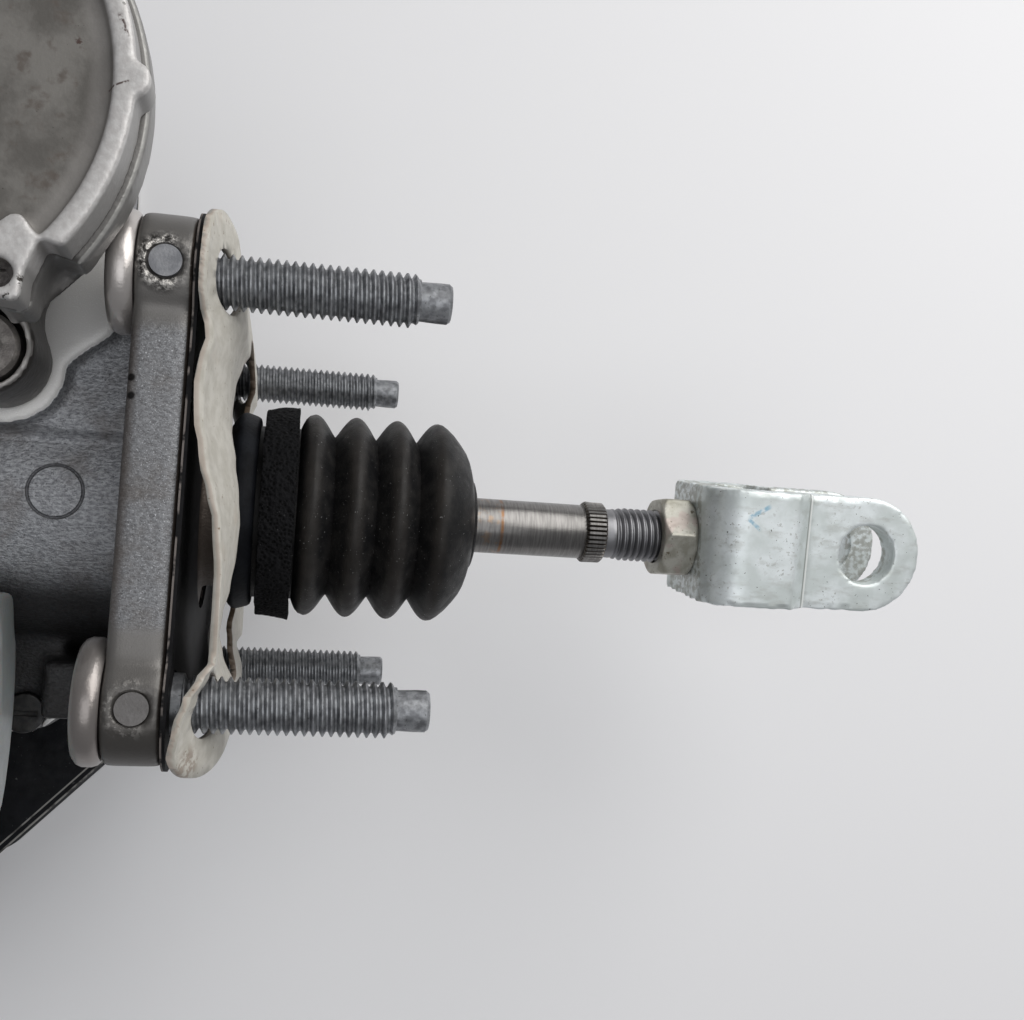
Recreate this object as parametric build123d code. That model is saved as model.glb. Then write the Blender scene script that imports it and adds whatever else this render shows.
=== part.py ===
from build123d import *
from math import cos, sin, radians
import os

# Electro-hydraulic brake booster, as it lies on its control unit lid.
# Frame: origin on the push rod's axis, in the rear face of the flange's insulating sheet.
# +X runs along the push rod to the clevis, +Z is up, along the motor's axis. Millimetres.

# ---- mounting flange and studs ----
stud_spacing_y = 60.0
stud_spacing_z = 80.0
stud_r = 4.0
stud_grip_r = 4.3
stud_grip_end = 0.3
stud_thread_end = 30.9
stud_tip_r = 3.0
stud_tip_len = 4.7
stud_head_r = 8.85
stud_head_len = 3.8
flange_thick = 8.0
flange_half_y = 36.0
flange_half_z = 46.3
flange_lobe_r = 8.6
cross_pin_r = 2.2
cross_pin_len = 3.6
cross_pin_x = -4.5

# ---- gaskets on the flange ----
insulator_thick = 0.7
insulator_margin = 0.6
insulator_hole_r = 17.5
gasket_thick = 1.0
gasket_margin = 1.4
gasket_hole_r = 29.5
gasket_gap = 0.1
stud_hole_gap = 0.4

# ---- master cylinder, on the X axis ----
bore_r = 11.0
bore_end_x = -96.0
barrel_r = 25.0
pilot_r = 13.5
pilot_len = 12.0
running_gap = 0.03
stop_ring_x = 3.4
stop_ring_thick = 1.2
stop_ring_depth = 1.2

# ---- strokes ----
rod_stroke = 22.0
secondary_share = 0.5
plunger_stroke = 30.0
plunger_end_gap = 4.0
float_stroke = 20.0

# ---- pistons ----
piston_rear_x = 3.2
piston_tail_x = 26.0
piston_tail_r = 9.5
piston_front_x = -35.0
spring_well_r = 7.6
spring_well_depth = 16.0
secondary_rear_x = -52.0
secondary_front_x = -80.0
seal_width = 3.0
seal_depth = 2.4
seal_gap = 0.02
spring_r = 6.2
spring_wire_r = 0.9
spring_gap = 0.3

# ---- push rod, nut and clevis ----
ball_x = 16.0
ball_r = 7.0
ball_gap = 0.05
rod_r = 5.0
retainer_thick = 3.0
retainer_hole_r = 6.3
knurl_x = 67.9
knurl_len = 5.0
knurl_r = 5.65
rod_neck_r = 4.5
rod_thread_x = 77.0
rod_thread_r = 4.95
rod_end_x = 97.0
nut_flats = 14.0
nut_thick = 6.5
clevis_base_x = 88.5
clevis_thick = 5.0
clevis_width = 21.4
clevis_body_half = 14.3
clevis_ear_half = 11.0
clevis_step_x = 108.5
clevis_pin_x = 120.3
clevis_pin_r = 5.5
clevis_bend_r = 7.0
clevis_roll_deg = 9.0

# ---- dust boot and foam ring ----
collar_x = 3.5
collar_len = 4.9
collar_foot_r = 14.9
collar_crest_r = 17.3
collar_rear_r = 16.25
boot_cuff_r = 15.1
boot_wall = 1.1
boot_crest_r = 17.9
boot_valley_r = 14.05
boot_first_crest_x = 17.6
boot_pitch = 7.28
boot_folds = 4
boot_dome_r = 12.8
boot_dome_x = 44.6
boot_end_x = 46.9
foam_x = 9.2
foam_len = 5.75
foam_r = 18.8
soft_gap = 0.1

# ---- motor, its axis along Z ----
motor_x = -43.0
motor_y = 48.0
pad_z = 28.0
pad_near_x = -13.0
pad_near_y = 24.0
pad_waist_x = -19.3
pad_waist_y = 18.6
motor_foot_r = 28.5
motor_waist_z = 40.0
motor_rim_r = 36.0
motor_rim_z = 49.0
cover_z = 54.5
cover_top_z = 61.0
cover_base_r = 35.0
cover_rim_r = 34.8
cover_dish_r = 32.1
cover_dish_depth = 4.6
cover_floor = 2.2
cover_spigot = 2.0
cover_spigot_r = 29.4
cover_spigot_wall = 2.4
cover_ears = 3
ear_angle = -50.6
ear_ring_r = 32.4
ear_inner_r = 27.4
ear_shoulder_r = 31.7
ear_waist_r = 34.0
ear_tip_r = 36.8
ear_half_width = 6.5
ear_waist_half = 2.6
ear_boss_len = 7.0
ear_round = 1.0
notch_spread = 35.0
ear_hole_r = 1.9
ear_screw_drop = 2.2
lug_angle = 2.0
lug_r = 2.3
lug_reach = 36.7
motor_wall = 3.0
motor_floor = 3.0
foot_ring_r = 33.5
foot_angle = -64.5
foot_r = 7.0
foot_blend_r = 8.0
foot_top_z = 41.6
foot_recess_r = 5.8
foot_recess_depth = 7.0
foot_access_r = 5.4
feet = 3
foot_column = 12.0
foot_margin = 2.0
head_relief = 0.6
foot_screw_reach = 9.0

# ---- what turns in the motor ----
stator_len = 13.0
stator_z = 34.5
stator_ledge = 1.0
shrink_gap = 0.03
stator_yoke = 2.6
stator_teeth = 12
tooth_width = 4.2
tooth_len = 3.5
tooth_tip = 1.0
coil_thick = 1.7
coil_overhang = 2.4
coil_clear = 0.6
air_gap = 0.5
magnet_thick = 3.0
magnets = 10
magnet_spread = 0.82
rotor_web_thick = 3.0
hub_r = 11.5
nut_body_r = 10.0
screw_r = 6.0
screw_gap = 0.25
bearing_bore_r = 12.0
bearing_race = 2.1
bearing_width = 6.0
bearing_outer_r = 18.0
bearing_balls = 12
bearing_seat_wall = 1.2
sliding_gap = 0.03

# ---- pressure plunger in the block ----
plunger_r = 14.0
plunger_top_z = 24.0
plunger_len = 30.0
plunger_floor_z = plunger_top_z - plunger_len - plunger_stroke - plunger_end_gap
plunger_wall = 3.0

# ---- the cast block ----
block_left_x = -110.0
block_right_x = -20.0
block_far_x = -26.0
block_low_y = -38.5
block_top_y = 84.0
block_step_y = 34.0
block_low_z = -47.0
block_top_z = 10.0
block_corner_r = 5.0
plinth_low_y = 8.5
plinth_top_y = 36.0
plinth_z = 25.5
well_top_r = 31.5
well_low_r = 27.0
gusset_thick = 9.0
gusset_low_z = -30.0
gusset_high_z = 16.0
sim_x = -84.0
sim_y = 0.0
sim_wall = 6.0
sim_bore_r = 13.0
sim_floor_z = 27.0
sim_top_z = 52.0
sim_piston_len = 8.0
sim_seat_z = 4.0
sim_cap_thick = 5.0
sim_cap_floor = 2.0
sim_hex_r = 7.0
port_r = 5.5
port_depth = 14.0
port_seat_r = 8.5
port_seat_depth = 0.6
port_step = 0.7
port_z = -4.0
port_ys = (-27.0, 25.0, 46.0, 67.0)
plug_x = -25.3
plug_y = -35.3
plug_r = 3.1
plug_len = 4.5
plug_stand = 0.8
plug_slot = 0.8
plug_slot_len = 4.0

# ---- control unit ----
unit_low_z = -74.0
unit_lid_thick = 1.6
unit_lip = 0.9
unit_wall = 2.6
unit_right_x = -14.0
unit_left_x = -130.0
unit_low_y = -75.0
unit_top_y = 86.0
unit_chamfer = 30.0
unit_corner_r = 9.0
unit_notch_x = -27.0
unit_notch_y = 32.0
board_z = -67.0
board_thick = 1.6
board_margin = 5.0
window_margin = 1.0
unit_screw_inset = 6.0
unit_screw_r = 2.5
unit_screw_head_r = 4.6
unit_screw_head_len = 3.0
unit_screw_reach = 8.0
valve_cols = 5
valve_rows = 2
valve_pitch_x = 15.2
valve_pitch_y = 20.0
valve_first_x = -96.0
valve_first_y = -20.0
valve_r = 4.4
valve_depth = 15.0
valve_stem = 13.0
coil_r = 7.0
coil_len = 11.0
coil_lift = 1.0
connector_x = -121.0
connector_y = 5.0
connector_long = 68.0
connector_wide = 13.0
connector_high = 24.0
connector_wall = 1.8
pin_columns = 11
pin_rows = 2
pin_pitch = 5.0
pin_half = 0.5
pin_high = 13.0

# ---- fluid reservoir ----
tank_left_x = -104.0
tank_right_x = -40.0
tank_low_y = -90.0
tank_top_y = -43.0
tank_low_z = -32.0
tank_high_z = 31.0
tank_wall = 2.2
tank_corner_r = 8.0
lobe_right_x = -24.6
lobe_left_x = -66.0
lobe_top_y = -16.0
lobe_low_z = 20.4
lobe_bulge = 1.6
neck_x = -72.0
neck_r = 16.0
neck_len = 8.0
cap_r = 20.0
cap_wall = 2.0
cap_gap = 0.4
cap_grips = 12
cap_grip_r = 2.0
cap_grip_out = 0.6
feed_xs = (-52.0, -86.0)
feed_r = 5.0
feed_len = 8.0
grommet_wall = 1.5
feed_drill_r = 1.5
float_r = 9.0
float_len = 6.0
float_x = -72.0
float_top_y = -58.0
guide_r = 2.5
guide_gap = 0.1

# ---- screws ----
screw_head_r = 4.9
screw_head_len = 6.0
screw_shank_r = 3.0
screw_hex_r = 2.9
screw_hex_depth = 3.2

X_AXIS = Plane.YZ
os.makedirs("parts", exist_ok=True)
nodes = {}


def rod_x(r, x0, x1, y=0.0, z=0.0):
    """A round bar along X, from x0 to x1."""
    return Pos((x0 + x1) / 2, y, z) * Rot(0, 90, 0) * Cylinder(r, abs(x1 - x0))


def rod_y(r, y0, y1, x=0.0, z=0.0):
    """A round bar along Y, from y0 to y1."""
    return Pos(x, (y0 + y1) / 2, z) * Rot(90, 0, 0) * Cylinder(r, abs(y1 - y0))


def rod_z(r, z0, z1, x=0.0, y=0.0):
    """A round bar along Z, from z0 to z1."""
    return Pos(x, y, (z0 + z1) / 2) * Cylinder(r, abs(z1 - z0))


def block(x0, x1, y0, y1, z0, z1):
    """A box between two corners."""
    middle = Pos((x0 + x1) / 2, (y0 + y1) / 2, (z0 + z1) / 2)
    return middle * Box(abs(x1 - x0), abs(y1 - y0), abs(z1 - z0))


def turned_x(points):
    """A body turned about the X axis from its half outline in (x, radius)."""
    face = make_face(Polyline(*[(x, r) for x, r in points], close=True))
    return revolve(face, Axis.X)


def turned_z(points, x=0.0, y=0.0):
    """A body turned about a Z axis through (x, y) from its half outline in (radius, z)."""
    face = make_face(Polyline(*[(r, 0, z) for r, z in points], close=True))
    return Pos(x, y, 0) * revolve(face, Axis.Z)


def polar(x, y, r, angle):
    """The point at a radius and an angle, in degrees, round (x, y)."""
    return x + r * cos(radians(angle)), y + r * sin(radians(angle))


def helix_spring(r, wire_r, length, turns):
    """A coil spring that stands on Z = 0, with its ends closed by a flat turn."""
    path = Helix(pitch=(length - 2 * wire_r) / turns, height=length - 2 * wire_r, radius=r)
    start = path @ 0
    section = Plane(origin=start, z_dir=path % 0) * RegularPolygon(wire_r, 6)
    return Pos(0, 0, wire_r) * sweep(section, path=path, is_frenet=True)


def add(name, shape):
    """Keep a finished piece under its node's name."""
    nodes[name] = shape


def stud_places():
    """The four stud axes in the flange, as (y, z)."""
    half_y, half_z = stud_spacing_y / 2, stud_spacing_z / 2
    return [(y, z) for y in (half_y, -half_y) for z in (half_z, -half_z)]


def flange_front():
    """How far the flange's front face lies ahead of X = 0."""
    return insulator_thick + flange_thick


def flange_outline(grow=0.0):
    """The flange's outline in the YZ plane: two crossed plates with a lobe at each stud."""
    tall = Rectangle(2 * (flange_half_y + grow), stud_spacing_z)
    wide = Rectangle(stud_spacing_y, 2 * (flange_half_z + grow))
    lobes = [Pos(y, z) * Circle(flange_lobe_r + grow) for y, z in stud_places()]
    return Sketch() + [tall, wide] + lobes


# ---- main housing: flange, master cylinder barrel and hydraulic block, one casting ----

def foot_places():
    """The motor housing's feet, as (x, y)."""
    return [polar(motor_x, motor_y, foot_ring_r, foot_angle + i * 360 / feet) for i in range(feet)]


def ear_places():
    """The cover's screw ears, as (x, y, angle)."""
    angles = [ear_angle + i * 360 / cover_ears for i in range(cover_ears)]
    return [(*polar(motor_x, motor_y, ear_ring_r, a), a) for a in angles]


def valve_places():
    """The solenoid valves' axes, as (x, y)."""
    xs = [valve_first_x + i * valve_pitch_x for i in range(valve_cols)]
    ys = [valve_first_y + j * valve_pitch_y for j in range(valve_rows)]
    return [(x, y) for x in xs for y in ys]


def block_body():
    """The square part of the casting, with the plinth, the motor well and the simulator boss."""
    near = RectangleRounded(block_right_x - block_left_x, block_step_y - block_low_y, block_corner_r)
    near = Pos((block_left_x + block_right_x) / 2, (block_step_y + block_low_y) / 2) * near
    far = RectangleRounded(block_far_x - block_left_x, block_top_y - plinth_low_y, block_corner_r)
    far = Pos((block_left_x + block_far_x) / 2, (block_top_y + plinth_low_y) / 2) * far
    body = extrude(Pos(0, 0, block_low_z) * (near + far), amount=block_top_z - block_low_z)
    plinth = block(block_left_x + block_corner_r, -flange_front(), plinth_low_y, plinth_top_y, 0, plinth_z)
    well = turned_z([(0, block_low_z / 2), (well_low_r - 3, block_low_z / 2), (well_low_r, 0),
                     (well_top_r, pad_z), (0, pad_z)], motor_x, motor_y)
    boss = rod_z(sim_bore_r + sim_wall, 0, sim_top_z, sim_x, sim_y)
    body = body + plinth + well + boss
    for x, y in foot_places():
        body += turned_z([(0, -foot_column), (1, -foot_column), (foot_r + foot_margin / 2, block_top_z),
                          (foot_r + foot_margin, pad_z), (0, pad_z)], x, y)
    return body


def pad_outline():
    """The machined pad that the motor housing stands on."""
    outline = Pos(motor_x, motor_y) * Circle(well_top_r)
    for x, y in foot_places():
        outline += Pos(x, y) * Circle(foot_r + foot_margin)
    outline += make_face(Polyline((motor_x, motor_y), (pad_near_x, plinth_top_y), (pad_near_x, pad_near_y),
                                  (pad_waist_x, pad_waist_y), foot_places()[0], close=True))
    return outline


def main_housing():
    flange = Pos(-insulator_thick, 0, 0) * extrude(X_AXIS * flange_outline(), amount=-flange_thick)
    barrel = rod_x(barrel_r, bore_end_x - 8, -flange_front() / 2)
    pilot = rod_x(pilot_r, -1, pilot_len)
    low_y = block_low_y + 3
    low = block(block_right_x - 2, -flange_front() / 2, low_y, low_y + gusset_thick,
                gusset_low_z, gusset_high_z)
    high = block(block_far_x - 4, -flange_front() / 2, plinth_low_y, plinth_low_y + gusset_thick,
                 gusset_low_z, plinth_z)
    pad = extrude(pad_outline(), amount=pad_z)
    pad &= block(block_left_x + 1, -flange_front() - 4.6, -30, block_top_y - 1, plinth_z - 4, pad_z)
    housing = flange + barrel + pilot + low + high + block_body() + pad
    # bores
    housing -= rod_x(bore_r, bore_end_x, pilot_len + 1)
    housing -= rod_x(bore_r + stop_ring_depth, stop_ring_x, stop_ring_x + stop_ring_thick)
    for x in seal_places():
        housing -= rod_x(bore_r + seal_depth, x, x + seal_width)
    housing -= rod_z(plunger_r, plunger_floor_z, pad_z + 1, motor_x, motor_y)
    for z in plunger_seal_places():
        housing -= rod_z(plunger_r + seal_depth, z, z + seal_width, motor_x, motor_y)
    housing -= rod_z(sim_bore_r, sim_floor_z, sim_top_z + 1, sim_x, sim_y)
    # holes
    for y, z in stud_places():
        housing -= rod_x(stud_grip_r, -flange_front() - 1, 1, y, z)
        side = 1 if z > 0 else -1
        housing -= rod_z(cross_pin_r, z + side * (stud_grip_r + 0.1), side * 60, cross_pin_x, y)
    for i, y in enumerate(port_ys):
        seat = block_left_x + port_seat_depth + i * port_step
        floor = block_left_x + port_depth - i * port_step
        housing -= rod_x(port_seat_r, block_left_x - 1, seat, y, port_z)
        housing -= rod_x(port_r, block_left_x - 1, floor, y, port_z)
    for x in feed_xs:
        housing -= rod_y(feed_r + grommet_wall, block_low_y - 1, block_low_y + feed_len, x, 0)
        housing -= rod_y(feed_drill_r, block_low_y, 0, x, 0)
    for x, y in valve_places():
        housing -= rod_z(valve_r, block_low_z - 1, block_low_z + valve_depth, x, y)
    for x, y in foot_places():
        housing -= rod_z(screw_shank_r, pad_z - foot_screw_reach - 1, pad_z + 1, x, y)
    for x, y in unit_screw_places():
        housing -= rod_z(unit_screw_r, block_low_z - 1, block_low_z + unit_screw_reach + 1, x, y)
    housing -= rod_z(plug_r, block_top_z - plug_len - 0.5, block_top_z + 1, plug_x, plug_y)
    return housing


# ---- master cylinder parts ----

def seal_places():
    """Where each seal's groove starts, along X: each stays on its piston over the whole stroke."""
    moved_rear = secondary_rear_x - secondary_share * rod_stroke
    return [piston_rear_x - rod_stroke - seal_width - 2, piston_front_x + 3.5,
            moved_rear - seal_width - 1.5, secondary_front_x + 3.5]


def piston_seals():
    rings = []
    for x in seal_places():
        ring = rod_x(bore_r + seal_depth, x, x + seal_width)
        rings.append(ring - rod_x(bore_r - running_gap + seal_gap, x - 1, x + seal_width + 1))
    return Compound(rings)


def stop_ring():
    ring = rod_x(bore_r + stop_ring_depth, stop_ring_x, stop_ring_x + stop_ring_thick)
    return ring - rod_x(piston_tail_r + 0.3, stop_ring_x - 1, stop_ring_x + 2 * stop_ring_thick)


def primary_piston():
    """Skirted piston with a tail that holds the rod's ball and a well for its spring."""
    r = bore_r - running_gap
    body = turned_x([(piston_front_x, 0), (piston_front_x, r), (piston_rear_x, r),
                     (piston_rear_x, piston_tail_r), (piston_tail_x, piston_tail_r), (piston_tail_x, 0)])
    body -= rod_x(spring_well_r, piston_front_x - 1, piston_front_x + spring_well_depth)
    body -= Pos(ball_x, 0, 0) * Sphere(ball_r + ball_gap)
    body -= rod_x(ball_r + ball_gap, ball_x, piston_tail_x + 1)
    return body


def ball_retainer():
    """Crimped ring that keeps the ball in the piston's tail."""
    ring = rod_x(ball_r + ball_gap, piston_tail_x - retainer_thick, piston_tail_x)
    return ring - rod_x(retainer_hole_r, 0, piston_tail_x + 1) - Pos(ball_x, 0, 0) * Sphere(ball_r + ball_gap)


def secondary_piston():
    """Plain floating piston with a well for its spring and a pip for the other."""
    body = rod_x(bore_r - running_gap, secondary_front_x, secondary_rear_x)
    body = chamfer(body.edges().filter_by(GeomType.CIRCLE), 0.6)
    return body - rod_x(spring_well_r, secondary_front_x - 1, secondary_front_x + spring_well_depth / 2)


def spring_between(x0, x1, turns):
    """A coil spring along X that ends just short of both seats."""
    length = x1 - x0 - 2 * spring_gap
    return Pos(x0 + spring_gap, 0, 0) * Rot(0, 90, 0) * helix_spring(spring_r, spring_wire_r, length, turns)


# ---- push rod, nut and clevis ----

def push_rod():
    chamfer_len = 1.0
    x_neck = knurl_x + knurl_len
    bar = turned_x([(ball_x, 0), (ball_x, rod_r), (knurl_x, rod_r), (knurl_x + 0.4, knurl_r),
                    (x_neck - 0.4, knurl_r), (x_neck, rod_neck_r), (rod_thread_x, rod_neck_r),
                    (rod_thread_x + 0.5, rod_thread_r), (rod_end_x - chamfer_len, rod_thread_r),
                    (rod_end_x, rod_thread_r - chamfer_len), (rod_end_x, 0)])
    return bar + Pos(ball_x, 0, 0) * Sphere(ball_r)


def jam_nut():
    """Small-flats hexagon nut, chamfered on both faces, one corner up."""
    across_corners = nut_flats / cos(radians(30)) / 2
    x0 = clevis_base_x - nut_thick
    hexagon = extrude(X_AXIS * RegularPolygon(across_corners, 6, rotation=30), amount=nut_thick)
    nut = Pos(x0, 0, 0) * hexagon
    bevel = 1.0
    envelope = turned_x([(x0, 0), (x0, nut_flats / 2), (x0 + bevel, across_corners),
                         (clevis_base_x - bevel, across_corners), (clevis_base_x, nut_flats / 2),
                         (clevis_base_x, 0)])
    return (nut & envelope) - rod_x(rod_thread_r, x0 - 1, clevis_base_x + 1)


def clevis():
    """Thick strap folded to a U, joggled in to two flat ears with one pin hole."""
    ear_len = clevis_pin_x - clevis_step_x
    outer, inner = clevis_body_half, clevis_body_half - clevis_thick
    ear_out, ear_in = clevis_ear_half, clevis_ear_half - clevis_thick
    x0, x1 = clevis_base_x, clevis_base_x + clevis_thick
    tip = clevis_pin_x + clevis_width / 2
    slope = 4.0
    side = [(x0, 0), (x0, outer), (clevis_step_x - slope, outer), (clevis_step_x, ear_out),
            (tip, ear_out), (tip, ear_in), (clevis_step_x - 1, ear_in),
            (clevis_step_x - slope - 1, inner), (x1, inner), (x1, 0)]
    outline = make_face(Polyline(*side, close=True))
    outline = outline + mirror(outline, about=Plane.XZ)
    corners = outline.vertices().filter_by(lambda v: abs(v.X - x0) < 1e-6)
    outline = fillet(corners, clevis_bend_r)
    strap = extrude(outline, amount=clevis_width / 2, both=True)
    strap = Rot(90, 0, 0) * strap
    top_view = Pos((x0 + clevis_pin_x) / 2, 0) * Rectangle(clevis_pin_x - x0, clevis_width)
    top_view += Pos(clevis_pin_x, 0) * Circle(clevis_width / 2)
    strap &= extrude(top_view, amount=2 * outer, both=True)
    strap -= rod_z(clevis_pin_r, -2 * outer, 2 * outer, clevis_pin_x, 0)
    strap -= rod_x(rod_thread_r, x0 - 1, x1 + 1)
    return Rot(clevis_roll_deg, 0, 0) * strap


# ---- boot ----

def boot_collar():
    x0, x1 = collar_x, collar_x + collar_len
    crest = x0 + 0.45 * collar_len
    inner = pilot_r
    return turned_x([(x0, inner), (x0, collar_foot_r), (crest, collar_crest_r),
                     (x1 - 1, collar_crest_r - 0.4), (x1, collar_rear_r), (x1, inner)])


def dust_boot():
    """Bellows with a cuff on the pilot, four folds and a domed end round the rod."""
    x = collar_x + collar_len
    cuff_end = foam_x + foam_len + 2 * soft_gap
    outer = [(x, boot_cuff_r), (cuff_end, boot_cuff_r)]
    for i in range(boot_folds):
        crest = boot_first_crest_x + i * boot_pitch
        outer.append((crest, boot_crest_r))
        if i < boot_folds - 1:
            outer.append((crest + boot_pitch / 2, boot_valley_r))
    outer += [(boot_dome_x, boot_dome_r), (boot_end_x, rod_r + 2.4), (boot_end_x, rod_r + soft_gap)]
    inner = [(boot_end_x - 2.5, rod_r + soft_gap), (boot_dome_x - 0.8, boot_dome_r - 1.6)]
    for i in reversed(range(boot_folds)):
        crest = boot_first_crest_x + i * boot_pitch
        inner.append((crest, boot_crest_r - 1.25 * boot_wall))
        if i > 0:
            inner.append((crest - boot_pitch / 2, boot_valley_r - 1.25 * boot_wall))
    inner += [(cuff_end, pilot_r + soft_gap), (x, pilot_r + soft_gap)]
    return turned_x(outer + inner)


def foam_ring():
    ring = rod_x(foam_r, foam_x, foam_x + foam_len)
    return ring - rod_x(boot_cuff_r + soft_gap, foam_x - 1, foam_x + foam_len + 1)


# ---- flange pieces ----

def mounting_studs():
    """Pressed-in studs: round head in front of the flange, thread and dog point behind it."""
    studs = []
    for y, z in stud_places():
        head = rod_x(stud_head_r, -flange_front() - stud_head_len, -flange_front(), y, z)
        rim = head.edges().group_by(Axis.X)[0]
        head = fillet(rim, 1.6)
        grip_end = gasket_gap + gasket_thick + stud_grip_end
        grip = rod_x(stud_grip_r, -flange_front() - 0.5, grip_end, y, z)
        shank = rod_x(stud_r, grip_end, stud_thread_end, y, z)
        shank = chamfer(shank.edges().group_by(Axis.X)[-1], 0.7)
        tip = rod_x(stud_tip_r, stud_thread_end - 1, stud_thread_end + stud_tip_len, y, z)
        studs.append(head + grip + shank + tip)
    return Compound(studs)


def cross_pins():
    """Short pins driven through the flange's sides against the studs."""
    pins = []
    for y, z in stud_places():
        side = 1 if z > 0 else -1
        face = abs(z) + flange_lobe_r - 0.2
        pins.append(rod_z(cross_pin_r, side * (face - cross_pin_len), side * face, cross_pin_x, y))
    return Compound(pins)


def gasket(x0, thick, grow, hole_r):
    """A flat sheet on the flange, with a middle hole and one hole for each stud."""
    plate = Pos(x0, 0, 0) * extrude(X_AXIS * flange_outline(grow), amount=thick)
    plate -= rod_x(hole_r, x0 - 1, x0 + thick + 1)
    for y, z in stud_places():
        plate -= rod_x(stud_grip_r + stud_hole_gap, x0 - 1, x0 + thick + 1, y, z)
    return plate


# ---- motor ----

def bell_hollow(rim_in):
    """The room inside the motor housing: floor, stator seat and the seat of the cover's spigot."""
    wall_in = motor_foot_r - motor_wall
    return turned_z([(0, pad_z + motor_floor), (wall_in - stator_ledge, pad_z + motor_floor),
                     (wall_in - stator_ledge, stator_z), (wall_in, stator_z), (wall_in, cover_z - 5.5),
                     (rim_in, cover_z - cover_spigot - 0.5), (rim_in, cover_z + 1), (0, cover_z + 1)],
                    motor_x, motor_y)


def ear_outline():
    """One screw ear, its radial axis along X: a wide tab whose outer end narrows to a corner."""
    half = [(ear_inner_r, ear_half_width), (ear_shoulder_r, ear_half_width), (ear_waist_r, ear_waist_half)]
    mirrored = [(r, -w) for r, w in reversed(half)]
    ear = make_face(Polyline(*half, (ear_tip_r, 0), *mirrored, close=True))
    return fillet(ear.vertices(), ear_round)


def notch_outline():
    """The gap in the round rim at an ear: it opens outwards from the ear's shoulders."""
    reach = motor_rim_r + 4
    half = ear_half_width + (reach - ear_shoulder_r) * sin(radians(notch_spread)) / cos(radians(notch_spread))
    return make_face(Polyline((ear_shoulder_r, ear_half_width), (reach, half), (reach, -half),
                              (ear_shoulder_r, -ear_half_width), close=True))


def motor_housing():
    """Cast bell: floor with the bearing seat, flared wall, rim and three screw feet."""
    rim_in = cover_spigot_r + sliding_gap
    bell = turned_z([(0, pad_z), (motor_foot_r, pad_z), (motor_foot_r, motor_waist_z - 4),
                     (motor_rim_r, motor_rim_z), (motor_rim_r, cover_z), (0, cover_z)], motor_x, motor_y)
    outline = Pos(motor_x, motor_y) * Circle(motor_foot_r)
    outline += [Pos(x, y) * Circle(foot_r) for x, y in foot_places()]
    outline = fillet(outline.vertices(), foot_blend_r)
    bell += extrude(Pos(0, 0, pad_z) * outline, amount=foot_top_z - pad_z)
    bell -= bell_hollow(rim_in)
    for x, y, angle in ear_places():
        low = Pos(motor_x, motor_y, cover_z - ear_boss_len) * Rot(0, 0, angle)
        bell -= low * extrude(notch_outline(), amount=2 * ear_boss_len)
        bell += low * extrude(ear_outline(), amount=ear_boss_len) - bell_hollow(rim_in)
    bell += rod_z(bearing_outer_r + bearing_seat_wall, pad_z, pad_z + bearing_width, motor_x, motor_y)
    bell -= rod_z(bearing_outer_r, pad_z - 1, pad_z + bearing_width + 1, motor_x, motor_y)
    for x, y in foot_places():
        bell -= rod_z(foot_recess_r, foot_top_z - foot_recess_depth, foot_top_z + 1, x, y)
        bell -= rod_z(foot_access_r, foot_top_z, cover_z + 1, x, y)
        bell -= rod_z(screw_shank_r, pad_z - 1, foot_top_z, x, y)
    for x, y, _ in ear_places():
        bell -= rod_z(ear_hole_r, cover_z - 4, cover_z + 1, x, y)
    for y, z in stud_places():
        bell -= rod_x(stud_head_r + head_relief, -flange_front() - stud_head_len - head_relief, 0, y, z)
    return bell


def motor_cover():
    """Cast cover: machined rim round a shallow dish, three screw ears in gaps of the rim, a small lug."""
    high = cover_top_z - cover_z
    floor_z = cover_top_z - cover_dish_depth
    top = turned_z([(0, cover_z), (cover_base_r, cover_z), (cover_rim_r, cover_top_z), (0, cover_top_z)],
                   motor_x, motor_y)
    top += rod_z(cover_spigot_r, cover_z - cover_spigot, cover_z, motor_x, motor_y)
    lug = Pos(lug_reach / 2 - lug_r / 2, 0) * Rectangle(lug_reach - lug_r, 2 * lug_r)
    lug += Pos(lug_reach - lug_r, 0) * Circle(lug_r)
    top += Pos(motor_x, motor_y, cover_z) * Rot(0, 0, lug_angle) * extrude(lug, amount=high)
    dish = turned_z([(0, floor_z), (cover_dish_r - 2, floor_z), (cover_dish_r - 0.5, floor_z + 1.2),
                     (cover_dish_r, cover_top_z - 0.5), (cover_dish_r, cover_top_z + 1),
                     (0, cover_top_z + 1)], motor_x, motor_y)
    top -= dish
    for x, y, angle in ear_places():
        place = Pos(motor_x, motor_y, cover_z) * Rot(0, 0, angle)
        top -= place * extrude(notch_outline(), amount=high)
        top += place * extrude(ear_outline(), amount=high)
    top -= rod_z(cover_spigot_r - cover_spigot_wall, cover_z - cover_spigot - 1, floor_z - cover_floor,
                 motor_x, motor_y)
    for x, y in foot_places():
        top -= rod_z(foot_access_r, cover_z - 1, cover_top_z + 1, x, y)
    for x, y, _ in ear_places():
        top -= rod_z(ear_hole_r, cover_z - 5, cover_top_z + 1, x, y)
    return top


def cap_screw(x, y, seat_z, length):
    """Socket head cap screw that points down from its seat."""
    head = rod_z(screw_head_r, seat_z, seat_z + screw_head_len, x, y)
    head = chamfer(head.edges().group_by(Axis.Z)[-1], 0.6)
    socket = Pos(x, y, seat_z + screw_head_len - screw_hex_depth) * extrude(
        RegularPolygon(screw_hex_r, 6), amount=screw_hex_depth + 1)
    return head - socket + rod_z(screw_shank_r, seat_z - length, seat_z + 0.1, x, y)


def motor_housing_screws():
    seat = foot_top_z - foot_recess_depth
    return Compound([cap_screw(x, y, seat, seat - pad_z + foot_screw_reach) for x, y in foot_places()])


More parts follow.
